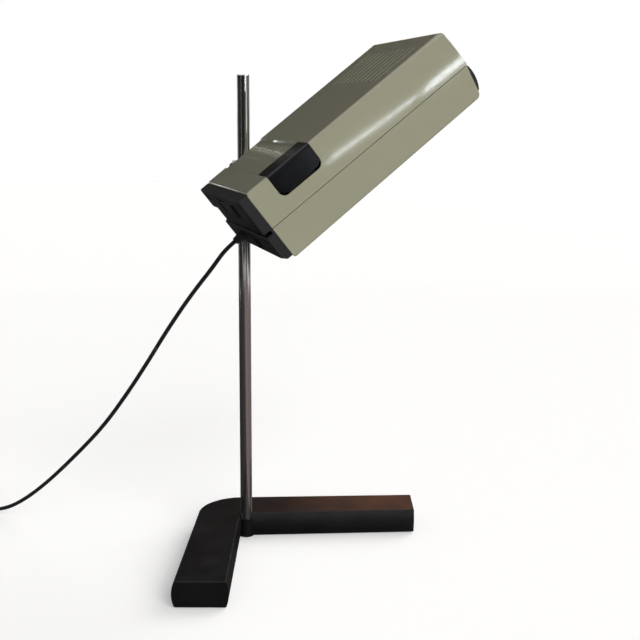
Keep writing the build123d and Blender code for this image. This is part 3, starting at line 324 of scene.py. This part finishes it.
# Slide bush: a split sleeve of natural nylon, turned from bar, with fine rings from the lathe. The
# clamp block slides and turns on the rod with it, and doesn't mark the plating.
nylon, tree, shader = material("turned_nylon")
place = add(tree, "ShaderNodeTexCoord").outputs["Object"]
turned = add(
    tree,
    "ShaderNodeTexWave",
    {"bands_direction": "Z"},
    {"Vector": place, "Scale": 1 / 0.0012, "Distortion": 1.5, "Detail": 2},
)
mixed = add(
    tree,
    "ShaderNodeMix",
    {"data_type": "RGBA"},
    {0: turned.outputs[1], 6: hex_colour("d8d2c0"), 7: hex_colour("e4dfd0")},
)
tree.links.new(mixed.outputs[2], shader.inputs["Base Color"])
bump = add(
    tree, "ShaderNodeBump", inputs={"Height": turned.outputs[1], "Strength": 0.15, "Distance": 0.0001}
)
tree.links.new(bump.outputs[0], shader.inputs["Normal"])
shader.inputs["Roughness"].default_value = 0.42
shader.inputs["Subsurface Weight"].default_value = 0.1
shader.inputs["Subsurface Radius"].default_value = (0.002, 0.0018, 0.0015)
dress(nylon, "slide_bush")

# Clamp block: a zinc die casting that grips the bush and carries the head's pivot. It and the
# ring that keeps the bush in it are powder coated black, which leaves a fine even grain.
powder, tree, shader = material("powder_coated_zinc")
place = add(tree, "ShaderNodeTexCoord").outputs["Object"]
grain = add(tree, "ShaderNodeTexVoronoi", inputs={"Vector": place, "Scale": 1 / 0.0007})
mixed = add(
    tree,
    "ShaderNodeMix",
    {"data_type": "RGBA"},
    {0: grain.outputs[0], 6: hex_colour("1a1a1b"), 7: hex_colour("252526")},
)
tree.links.new(mixed.outputs[2], shader.inputs["Base Color"])
bump = add(
    tree, "ShaderNodeBump", inputs={"Height": grain.outputs[0], "Strength": 0.25, "Distance": 0.00012}
)
tree.links.new(bump.outputs[0], shader.inputs["Normal"])
shader.inputs["Roughness"].default_value = 0.5
dress(powder, "clamp_body", "bush_ring")

# Fasteners and plates: turned, rolled or pressed from mild steel, with a bright zinc plating,
# which gives a blue-white metal with cloudy patches from the bath.
zinc, tree, shader = material("bright_zinc_plated_steel")
place = add(tree, "ShaderNodeTexCoord").outputs["Object"]
cloud = add(tree, "ShaderNodeTexNoise", inputs={"Vector": place, "Scale": 1 / 0.006, "Detail": 6})
mixed = add(
    tree,
    "ShaderNodeMix",
    {"data_type": "RGBA"},
    {0: cloud.outputs[0], 6: hex_colour("a6abb0"), 7: hex_colour("cfd3d6")},
)
tree.links.new(mixed.outputs[2], shader.inputs["Base Color"])
sheen = add(tree, "ShaderNodeMapRange", inputs={0: cloud.outputs[0], 1: 0.3, 2: 0.7, 3: 0.22, 4: 0.4})
tree.links.new(sheen.outputs[0], shader.inputs["Roughness"])
shader.inputs["Metallic"].default_value = 1
for name in (
    "rod_washer",
    "rod_screw",
    "clamp_stud",
    "pivot_bolt",
    "pivot_washer",
    "spring_washer",
    "pivot_plate",
    "plate_rivets",
    "chassis_plate",
    "holder_bracket",
    "switch_spring",
):
    dress(zinc, name)

# Black mouldings: the end caps, knob, far plate, switch body, lampholder, its ring and the plug.
# Their moulds were spark eroded, so they come out matt and finely grained.
moulded, tree, shader = material("spark_grained_black_moulding")
place = add(tree, "ShaderNodeTexCoord").outputs["Object"]
grain = add(tree, "ShaderNodeTexNoise", inputs={"Vector": place, "Scale": 1 / 0.0007, "Detail": 4})
patches = add(tree, "ShaderNodeTexNoise", inputs={"Vector": place, "Scale": 1 / 0.02, "Detail": 3})
mixed = add(
    tree,
    "ShaderNodeMix",
    {"data_type": "RGBA"},
    {0: patches.outputs[0], 6: hex_colour("151418"), 7: hex_colour("1f1d21")},
)
tree.links.new(mixed.outputs[2], shader.inputs["Base Color"])
bump = add(
    tree, "ShaderNodeBump", inputs={"Height": grain.outputs[0], "Strength": 0.22, "Distance": 0.00015}
)
tree.links.new(bump.outputs[0], shader.inputs["Normal"])
shader.inputs["Roughness"].default_value = 0.46
shader.inputs["Specular IOR Level"].default_value = 0.3
for name in (
    "upper_end_cap",
    "lower_end_cap",
    "far_end_plate",
    "clamp_knob",
    "switch_body",
    "lampholder",
    "holder_ring",
    "plug_body",
):
    dress(moulded, name)

# Head shells: upper cover and lower housing, injection moulded in a cream-grey ABS with a polished
# mould. They are glossy, and the walls are slightly bowed and wavy, which bends what they mirror.
shell, tree, shader = material("glossy_moulded_abs")
place = add(tree, "ShaderNodeTexCoord").outputs["Object"]
tone = add(tree, "ShaderNodeTexNoise", inputs={"Vector": place, "Scale": 1 / 0.09, "Detail": 2})
mixed = add(
    tree,
    "ShaderNodeMix",
    {"data_type": "RGBA"},
    {0: tone.outputs[0], 6: hex_colour("8a8d7a"), 7: hex_colour("938f7b")},
)
tree.links.new(mixed.outputs[2], shader.inputs["Base Color"])
head_turned = Matrix((along, across, out_of_top)).transposed().to_euler()
from_pivot = add(
    tree,
    "ShaderNodeMapping",
    {"vector_type": "TEXTURE"},
    {"Vector": place, "Location": tuple(pivot * millimetre), "Rotation": tuple(head_turned)},
)
drawn_out = add(
    tree, "ShaderNodeMapping", inputs={"Vector": from_pivot.outputs[0], "Scale": (7, 20, 20)}
)
waves = add(
    tree, "ShaderNodeTexNoise", inputs={"Vector": drawn_out.outputs[0], "Scale": 1, "Detail": 1}
)
height = add(tree, "ShaderNodeSeparateXYZ", inputs={0: from_pivot.outputs[0]}).outputs[2]
middle_drop, bow_share, wave_height = 0.007, -0.8, 0.0004
from_middle = add(tree, "ShaderNodeMath", {"operation": "ADD"}, {0: height, 1: middle_drop})
squared = add(
    tree,
    "ShaderNodeMath",
    {"operation": "MULTIPLY"},
    {0: from_middle.outputs[0], 1: from_middle.outputs[0]},
)
bowed = add(tree, "ShaderNodeMath", {"operation": "MULTIPLY"}, {0: squared.outputs[0], 1: bow_share})
wavy = add(tree, "ShaderNodeMath", {"operation": "MULTIPLY"}, {0: waves.outputs[0], 1: wave_height})
wall_form = add(
    tree, "ShaderNodeMath", {"operation": "ADD"}, {0: bowed.outputs[0], 1: wavy.outputs[0]}
)
bump = add(
    tree, "ShaderNodeBump", inputs={"Height": wall_form.outputs[0], "Strength": 1, "Distance": 1}
)
tree.links.new(bump.outputs[0], shader.inputs["Normal"])
scuffs = add(tree, "ShaderNodeTexNoise", inputs={"Vector": place, "Scale": 1 / 0.004, "Detail": 6})
sheen = add(
    tree, "ShaderNodeMapRange", inputs={0: scuffs.outputs[0], 1: 0.4, 2: 0.75, 3: 0.06, 4: 0.1}
)
tree.links.new(sheen.outputs[0], shader.inputs["Roughness"])
shader.inputs["IOR"].default_value = 1.54
dress(shell, "top_cover", "lower_housing")

# Switch key: a saddle moulded in black ABS that wraps the head's upper edge, and the plunger under
# it. Thumbs have rubbed the key, so its gloss is duller than the shells' and a little smeared.
key, tree, shader = material("polished_black_abs")
place = add(tree, "ShaderNodeTexCoord").outputs["Object"]
smears = add(tree, "ShaderNodeTexNoise", inputs={"Vector": place, "Scale": 1 / 0.008, "Detail": 4})
sheen = add(
    tree, "ShaderNodeMapRange", inputs={0: smears.outputs[0], 1: 0.35, 2: 0.7, 3: 0.16, 4: 0.2}
)
tree.links.new(sheen.outputs[0], shader.inputs["Roughness"])
mixed = add(
    tree,
    "ShaderNodeMix",
    {"data_type": "RGBA"},
    {0: smears.outputs[0], 6: hex_colour("08090c"), 7: hex_colour("0b0c0f")},
)
tree.links.new(mixed.outputs[2], shader.inputs["Base Color"])
shader.inputs["IOR"].default_value = 1.54
shader.inputs["Specular IOR Level"].default_value = 0.35
dress(key, "switch_key", "switch_plunger")

# Reflector: a tray pressed from aluminium sheet, stove enamelled white inside and bare outside. The
# outside is painted a dark grey, darker than bare aluminium, as painted shade for what shows through
# the vents above it.
white, tree, shader = material("white_enamelled_aluminium")
place = add(tree, "ShaderNodeTexCoord").outputs["Object"]
peel = add(tree, "ShaderNodeTexNoise", inputs={"Vector": place, "Scale": 1 / 0.002, "Detail": 2})
hottest_place = (84, -80, 20)
warm = add(
    tree,
    "ShaderNodeMapping",
    {"vector_type": "POINT"},
    {"Vector": place, "Location": tuple(-on_head(*hottest_place))},
)
from_bulb = add(tree, "ShaderNodeVectorMath", {"operation": "LENGTH"}, {0: warm.outputs[0]})
browned = add(
    tree, "ShaderNodeMapRange", inputs={0: from_bulb.outputs["Value"], 1: 0.01, 2: 0.07, 3: 1, 4: 0}
)
mixed = add(
    tree,
    "ShaderNodeMix",
    {"data_type": "RGBA"},
    {0: browned.outputs[0], 6: hex_colour("ecebe6"), 7: hex_colour("e2dcca")},
)
# Faces that look up out of the tray get a flat dark grey: painted shade, so the vents above show dark.
outward = add(tree, "ShaderNodeTexCoord").outputs["Normal"]
upward = add(
    tree, "ShaderNodeVectorMath", {"operation": "DOT_PRODUCT"}, {0: outward, 1: tuple(out_of_top)}
)
outside_shade_mask = add(tree, "ShaderNodeMapRange", inputs={0: upward.outputs["Value"], 1: 0.05, 2: 0.15})
white_inside_shaded_outside = add(
    tree,
    "ShaderNodeMix",
    {"data_type": "RGBA"},
    {0: outside_shade_mask.outputs[0], 6: mixed.outputs[2], 7: hex_colour("343331")},
)
tree.links.new(white_inside_shaded_outside.outputs[2], shader.inputs["Base Color"])
bump = add(
    tree, "ShaderNodeBump", inputs={"Height": peel.outputs[0], "Strength": 0.08, "Distance": 0.0002}
)
tree.links.new(bump.outputs[0], shader.inputs["Normal"])
shader.inputs["Roughness"].default_value = 0.3
dress(white, "reflector")

# Brass parts: the lampholder's threaded nipple and its nut, the bulb's contact and the plug's
# pins, turned from bar and left bare, so they have gone a little brown.
brass, tree, shader = material("turned_brass")
place = add(tree, "ShaderNodeTexCoord").outputs["Object"]
tarnish = add(tree, "ShaderNodeTexNoise", inputs={"Vector": place, "Scale": 1 / 0.003, "Detail": 5})
mixed = add(
    tree,
    "ShaderNodeMix",
    {"data_type": "RGBA"},
    {0: tarnish.outputs[0], 6: hex_colour("b8924e"), 7: hex_colour("d4b06c")},
)
tree.links.new(mixed.outputs[2], shader.inputs["Base Color"])
sheen = add(tree, "ShaderNodeMapRange", inputs={0: tarnish.outputs[0], 1: 0.3, 2: 0.7, 3: 0.2, 4: 0.38})
tree.links.new(sheen.outputs[0], shader.inputs["Roughness"])
shader.inputs["Metallic"].default_value = 1
dress(brass, "holder_nipple", "nipple_nut", "bulb_contact", "plug_pins")

# Terminal block, cord saddle and friction washer: pale grey urea moulding and red-brown fibre,
# both dull, with a fine mottle from the filler. The wires inside the head have the cord's sheath.
urea, tree, shader = material("moulded_urea")
place = add(tree, "ShaderNodeTexCoord").outputs["Object"]
mottle = add(tree, "ShaderNodeTexNoise", inputs={"Vector": place, "Scale": 1 / 0.0015, "Detail": 4})
mixed = add(
    tree,
    "ShaderNodeMix",
    {"data_type": "RGBA"},
    {0: mottle.outputs[0], 6: hex_colour("b9b6ac"), 7: hex_colour("cbc8be")},
)
tree.links.new(mixed.outputs[2], shader.inputs["Base Color"])
shader.inputs["Roughness"].default_value = 0.5
dress(urea, "terminal_block", "cord_clamp")
fibre, tree, shader = material("vulcanised_fibre")
place = add(tree, "ShaderNodeTexCoord").outputs["Object"]
mottle = add(tree, "ShaderNodeTexNoise", inputs={"Vector": place, "Scale": 1 / 0.001, "Detail": 6})
mixed = add(
    tree,
    "ShaderNodeMix",
    {"data_type": "RGBA"},
    {0: mottle.outputs[0], 6: hex_colour("6a3527"), 7: hex_colour("814736")},
)
tree.links.new(mixed.outputs[2], shader.inputs["Base Color"])
shader.inputs["Roughness"].default_value = 0.7
dress(fibre, "friction_washer")
dress(sheath, "inner_cord", "inner_wires")

# Bulb: a blown glass globe with a white powder inside, which makes it look pearly. It sits in a
# screw cap rolled from aluminium sheet, with the holder's round thread.
opal, tree, shader = material("inside_frosted_glass")
place = add(tree, "ShaderNodeTexCoord").outputs["Object"]
powdery = add(tree, "ShaderNodeTexNoise", inputs={"Vector": place, "Scale": 1 / 0.012, "Detail": 3})
mixed = add(
    tree,
    "ShaderNodeMix",
    {"data_type": "RGBA"},
    {0: powdery.outputs[0], 6: hex_colour("ecebe4"), 7: hex_colour("f6f5f0")},
)
tree.links.new(mixed.outputs[2], shader.inputs["Base Color"])
shader.inputs["Roughness"].default_value = 0.16
shader.inputs["IOR"].default_value = 1.52
shader.inputs["Subsurface Weight"].default_value = 0.3
shader.inputs["Subsurface Radius"].default_value = (0.004, 0.004, 0.0035)
dress(opal, "bulb_glass")
rolled, tree, shader = material("rolled_aluminium")
place = add(tree, "ShaderNodeTexCoord").outputs["Object"]
dull = add(tree, "ShaderNodeTexNoise", inputs={"Vector": place, "Scale": 1 / 0.004, "Detail": 5})
sheen = add(tree, "ShaderNodeMapRange", inputs={0: dull.outputs[0], 1: 0.3, 2: 0.7, 3: 0.28, 4: 0.45})
tree.links.new(sheen.outputs[0], shader.inputs["Roughness"])
mixed = add(
    tree,
    "ShaderNodeMix",
    {"data_type": "RGBA"},
    {0: dull.outputs[0], 6: hex_colour("b4b4b2"), 7: hex_colour("cfcfcd")},
)
tree.links.new(mixed.outputs[2], shader.inputs["Base Color"])
shader.inputs["Metallic"].default_value = 1
cap_start, cap_end, cap_start_radius, cap_radius, cap_sides = 27, 52, 11.2, 13.3, 40
thread_start, thread_pitch, half_depth, thread_step = 27.4, 3.6, 0.45, 0.4
threaded_steps, all_steps = 55, 61
bulb_y, bulb_z = -80, -8


def turned_on_head(name, profile, y, z, sides):
    mesh = bmesh.new()
    rings = []
    for x, radius in profile:
        if radius == 0:
            rings.append([mesh.verts.new(on_head(x, y, z))])
            continue
        ring = []
        for j in range(sides):
            turn = 2 * math.pi * j / sides
            spot = on_head(x, y + radius * math.cos(turn), z + radius * math.sin(turn))
            ring.append(mesh.verts.new(spot))
        rings.append(ring)
    for a, b in zip(rings, rings[1:]):
        for j in range(sides):
            k = (j + 1) % sides
            if len(b) == 1:
                mesh.faces.new((a[j], a[k], b[0]))
            else:
                mesh.faces.new((a[j], a[k], b[k], b[j])).smooth = True
    mesh.faces.new(list(reversed(rings[0])))
    bmesh.ops.recalc_face_normals(mesh, faces=mesh.faces)
    data = bpy.data.meshes.new(name)
    mesh.to_mesh(data)
    mesh.free()
    made = bpy.data.objects.new(name, data)
    bpy.context.scene.collection.objects.link(made)
    return made


cap_thread = []
for k in range(all_steps):
    reached = k * thread_step
    x, depth = thread_start + reached, 0
    if k < threaded_steps:
        depth = half_depth * (1 - math.cos(2 * math.pi * (x - thread_start) / thread_pitch))
    cap_thread.append((x, cap_radius - depth))
profile = [(cap_start, cap_start_radius), *cap_thread, (cap_end, cap_radius), (cap_end, 0)]
piece = turned_on_head("bulb_screw_cap", profile, bulb_y, bulb_z, cap_sides)
piece.data.materials.append(rolled)
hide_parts("bulb_cap")
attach(piece, "head")

# Screws: steel, bright zinc plated, with a coned head and a cross recess pressed by the heading
# machine. They hold the shells, the end caps, the cord's saddle, the chassis and its bracket.
screw_form = bpy.data.node_groups.new("cross_recess_screw", "GeometryNodeTree")
for title, kind in (
    ("Places", "NodeSocketGeometry"),
    ("Head radius", "NodeSocketFloat"),
    ("Head height", "NodeSocketFloat"),
    ("Recess width", "NodeSocketFloat"),
    ("Recess depth", "NodeSocketFloat"),
    ("Shank radius", "NodeSocketFloat"),
    ("Shank length", "NodeSocketFloat"),
    ("Lean", "NodeSocketRotation"),
    ("Finish", "NodeSocketMaterial"),
):
    screw_form.interface.new_socket(title, in_out="INPUT", socket_type=kind)
screw_form.interface.new_socket("Screws", in_out="OUTPUT", socket_type="NodeSocketGeometry")
given = add(screw_form, "NodeGroupInput").outputs
rim_share, recess_share = 0.72, 1.1
rim = add(
    screw_form, "ShaderNodeMath", {"operation": "MULTIPLY"}, {0: given["Head radius"], 1: rim_share}
)
head_form = add(
    screw_form,
    "GeometryNodeMeshCone",
    {"fill_type": "NGON"},
    {
        "Vertices": 28,
        "Side Segments": 1,
        "Radius Top": rim.outputs[0],
        "Radius Bottom": given["Head radius"],
        "Depth": given["Head height"],
    },
)
wide = add(
    screw_form,
    "ShaderNodeMath",
    {"operation": "MULTIPLY"},
    {0: given["Head radius"], 1: recess_share},
).outputs[0]
tall = add(
    screw_form, "ShaderNodeMath", {"operation": "MULTIPLY"}, {0: given["Recess depth"], 1: 2}
).outputs[0]
bars = []
for first, second in ((wide, given["Recess width"]), (given["Recess width"], wide)):
    size = add(screw_form, "ShaderNodeCombineXYZ", inputs={0: first, 1: second, 2: tall})
    bar = add(screw_form, "GeometryNodeMeshCube", inputs={"Size": size.outputs[0]})
    bars.append(bar.outputs[0])
cross = add(screw_form, "GeometryNodeMeshBoolean", {"operation": "UNION"})
for bar in bars:
    screw_form.links.new(bar, cross.inputs["Mesh 2"])
at_top = add(screw_form, "ShaderNodeCombineXYZ", inputs={2: given["Head height"]})
sunk = add(
    screw_form,
    "GeometryNodeTransform",
    inputs={"Geometry": cross.outputs[0], "Translation": at_top.outputs[0]},
)
recessed = add(
    screw_form,
    "GeometryNodeMeshBoolean",
    {"operation": "DIFFERENCE"},
    {"Mesh 1": head_form.outputs[0], "Mesh 2": sunk.outputs[0]},
)
half = add(
    screw_form, "ShaderNodeMath", {"operation": "MULTIPLY"}, {0: given["Shank length"], 1: -0.5}
)
down = add(screw_form, "ShaderNodeCombineXYZ", inputs={2: half.outputs[0]})
shank = add(
    screw_form,
    "GeometryNodeMeshCylinder",
    {"fill_type": "NGON"},
    {"Vertices": 20, "Radius": given["Shank radius"], "Depth": given["Shank length"]},
)
lowered = add(
    screw_form,
    "GeometryNodeTransform",
    inputs={"Geometry": shank.outputs[0], "Translation": down.outputs[0]},
)
whole = add(screw_form, "GeometryNodeJoinGeometry")
screw_form.links.new(recessed.outputs[0], whole.inputs[0])
screw_form.links.new(lowered.outputs[0], whole.inputs[0])
placed = add(
    screw_form,
    "GeometryNodeInstanceOnPoints",
    inputs={"Points": given["Places"], "Instance": whole.outputs[0], "Rotation": given["Lean"]},
)
real = add(screw_form, "GeometryNodeRealizeInstances", inputs={"Geometry": placed.outputs[0]})
finished = add(
    screw_form,
    "GeometryNodeSetMaterial",
    inputs={"Geometry": real.outputs[0], "Material": given["Finish"]},
)
out = add(screw_form, "NodeGroupOutput")
screw_form.links.new(finished.outputs[0], out.inputs[0])


def formed(piece, tree, values):
    modifier = piece.modifiers.new("form", "NODES")
    modifier.node_group = tree
    for item in tree.interface.items_tree:
        if item.in_out == "INPUT" and item.name in values:
            modifier[item.identifier] = values[item.name]


def plain_copy(piece, name):
    bpy.context.view_layer.update()
    data = bpy.data.meshes.new_from_object(piece.evaluated_get(bpy.context.evaluated_depsgraph_get()))
    data.name = name
    made = bpy.data.objects.new(name, data)
    bpy.context.scene.collection.objects.link(made)
    bpy.data.objects.remove(piece)
    return made


def screws(name, places, towards, reach, replaced):
    seats = bpy.data.meshes.new(name + "_seats")
    seats.from_pydata([tuple(on_head(*p)) for p in places], [], [])
    carrier = bpy.data.objects.new(name + "_seats", seats)
    bpy.context.scene.collection.objects.link(carrier)
    lean = towards.to_track_quat("Z", "Y").to_euler()
    sizes = {
        "Head radius": 3 * millimetre,
        "Head height": 1.98 * millimetre,
        "Recess width": 0.9 * millimetre,
        "Recess depth": 1.1 * millimetre,
        "Shank radius": 1.5 * millimetre,
        "Shank length": reach * millimetre,
        "Lean": tuple(lean),
        "Finish": zinc,
    }
    formed(carrier, screw_form, sizes)
    made = plain_copy(carrier, name)
    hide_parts(replaced)
    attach(made, "head")


screws(
    "cover_cross_screws",
    [(x, y, -33.1) for x in (-24, 175) for y in (-152, -8)],
    -out_of_top,
    34.4,
    "cover_screws",
)
screws(
    "cap_cross_screws",
    [(-29, y, z) for y in (-142, -18) for z in (-3.1, -25.45)],
    along,
    7.5,
    "cap_screws",
)
screws(
    "saddle_cross_screws",
    [(-18, y, -20.3) for y in (-53.5, -38.5)],
    out_of_top,
    10.4,
    "clamp_screws",
)
screws(
    "chassis_cross_screws",
    [(x, y, 15.2) for x in (-13.5, 39) for y in (-110, -24)],
    -out_of_top,
    7.4,
    "chassis_screws",
)
screws(
    "bracket_cross_screws",
    [(-1.5, -92, 16.4), (-1.5, -68, 16.4), (-14, -46, 16.4), (6, -46, 16.4)],
    out_of_top,
    7.4,
    "chassis_screws",
)

# Studio: a white floor that fades into white air, a wide soft lamp in front on the right and one
# behind. The cloths, boards and strips are there for what the chromium, the black parts and the
# glossy shells mirror, so the camera doesn't see them and they cast no shadow.
floor_white, tree, shader = material("studio_floor")
shader.inputs["Base Color"].default_value = hex_colour("f2f2f2")
shader.inputs["Roughness"].default_value = 0.8
shader.inputs["Specular IOR Level"].default_value = 0.1
seen = add(tree, "ShaderNodeLightPath").outputs["Is Camera Ray"]
share = add(tree, "ShaderNodeMath", {"operation": "MULTIPLY"}, {0: seen, 1: 0.15})
glow = add(tree, "ShaderNodeEmission", inputs={"Color": (1, 1, 1, 1), "Strength": 1.95})
both = add(
    tree,
    "ShaderNodeMixShader",
    inputs={0: share.outputs[0], 1: shader.outputs[0], 2: glow.outputs[0]},
)
tree.links.new(both.outputs[0], tree.nodes["Material Output"].inputs["Surface"])


def sheet(name, corners, finish, seen_by_all):
    form = bmesh.new()
    form.faces.new([form.verts.new(corner) for corner in corners])
    data = bpy.data.meshes.new(name)
    form.to_mesh(data)
    form.free()
    data.materials.append(finish)
    made = bpy.data.objects.new(name, data)
    bpy.context.scene.collection.objects.link(made)
    made.visible_camera = made.visible_diffuse = made.visible_shadow = seen_by_all


far, low = 6, -0.0002
floor_corners = ((-far, -far, low), (far, -far, low), (far, far, low), (-far, far, low))
sheet("studio_floor", floor_corners, floor_white, True)

world = bpy.data.worlds.new("studio_air")
bpy.context.scene.world = world
world.use_nodes = True
sky = world.node_tree
path_kind = add(sky, "ShaderNodeLightPath").outputs
direct = path_kind["Is Camera Ray"]
for kind in ("Is Glossy Ray", "Is Transmission Ray"):
    either = add(sky, "ShaderNodeMath", {"operation": "MAXIMUM"}, {0: direct, 1: path_kind[kind]})
    direct = either.outputs[0]
strength = add(sky, "ShaderNodeMapRange", inputs={0: direct, 1: 0, 2: 1, 3: 0.27, 4: 1})
air = sky.nodes["Background"]
air.inputs["Color"].default_value = (1, 1, 1, 1)
sky.links.new(strength.outputs[0], air.inputs["Strength"])

for name, towards, energy, spread in (
    ("front_lamp", (0.45, -0.8, 0.5), 2.3, 40),
    ("back_lamp", (0.6, 0.5, 0.62), 1.6, 50),
):
    light = bpy.data.lights.new(name, "SUN")
    light.energy = energy
    light.angle = math.radians(spread)
    light.color = (1, 0.985, 0.96)
    lamp = bpy.data.objects.new(name, light)
    bpy.context.scene.collection.objects.link(lamp)
    lamp.rotation_euler = Vector(towards).to_track_quat("Z", "Y").to_euler()

cloth, tree, shader = material("dark_studio_cloth")
shader.inputs["Base Color"].default_value = hex_colour("1c1a19")
shader.inputs["Roughness"].default_value = 0.9
for name, (x0, y0), (x1, y1), low, high in (
    ("cloth_left", (-1.5, 0.9), (-1.3, -1.7), 0.02, 1.9),
    ("cloth_front", (-1.3, -1.8), (0.8, -1.9), 0.02, 1.9),
    ("cloth_behind_strips", (0.8, -1.9), (1.9, -0.9), 0.02, 1.9),
    ("cloth_back", (-1.8, 1.5), (1.1, 1.7), 0.02, 2.3),
    ("cloth_right", (1.9, -0.9), (1.5, 1.2), 0.02, 1.9),
):
    sheet(name, ((x0, y0, low), (x1, y1, low), (x1, y1, high), (x0, y0, high)), cloth, False)
board, tree, shader = material("pink_grey_board")
shader.inputs["Base Color"].default_value = hex_colour("6f5f5c")
shader.inputs["Roughness"].default_value = 0.9
for name, x0, x1, finish in (
    ("cloth_on_floor", -1.5, 0.08, cloth),
    ("board_on_floor", 0.08, 1.6, board),
):
    y0, y1, z = -1.8, 1.5, 0.001
    sheet(name, ((x0, y0, z), (x1, y0, z), (x1, y1, z), (x0, y1, z)), finish, False)

for name, colour, power, (x0, y0, z0), (x1, y1, z1), tall in (
    ("slanted_strip_long", "eef6fa", 19, (1.18, -1.39, 0.475), (1.32, -1.26, 0.62), 0.05),
    ("slanted_strip_short", "eef6fa", 16, (1.0, -1.54, 0.345), (1.16, -1.4, 0.475), 0.022),
    ("step_strip", "eef6fa", 5, (-0.875, 1.4, 0.44), (-0.8, 1.4, 0.44), 0.06),
    ("warm_board", "ffae7c", 1.6, (0.06, 1.4, 0.46), (0.4, 1.4, 0.46), 0.32),
):
    lit, tree, shader = material(name)
    shader.inputs["Base Color"].default_value = (0, 0, 0, 1)
    shader.inputs["Emission Color"].default_value = hex_colour(colour)
    shader.inputs["Emission Strength"].default_value = power
    corners = ((x0, y0, z0), (x1, y1, z1), (x1, y1, z1 + tall), (x0, y0, z0 + tall))
    sheet(name, corners, lit, False)
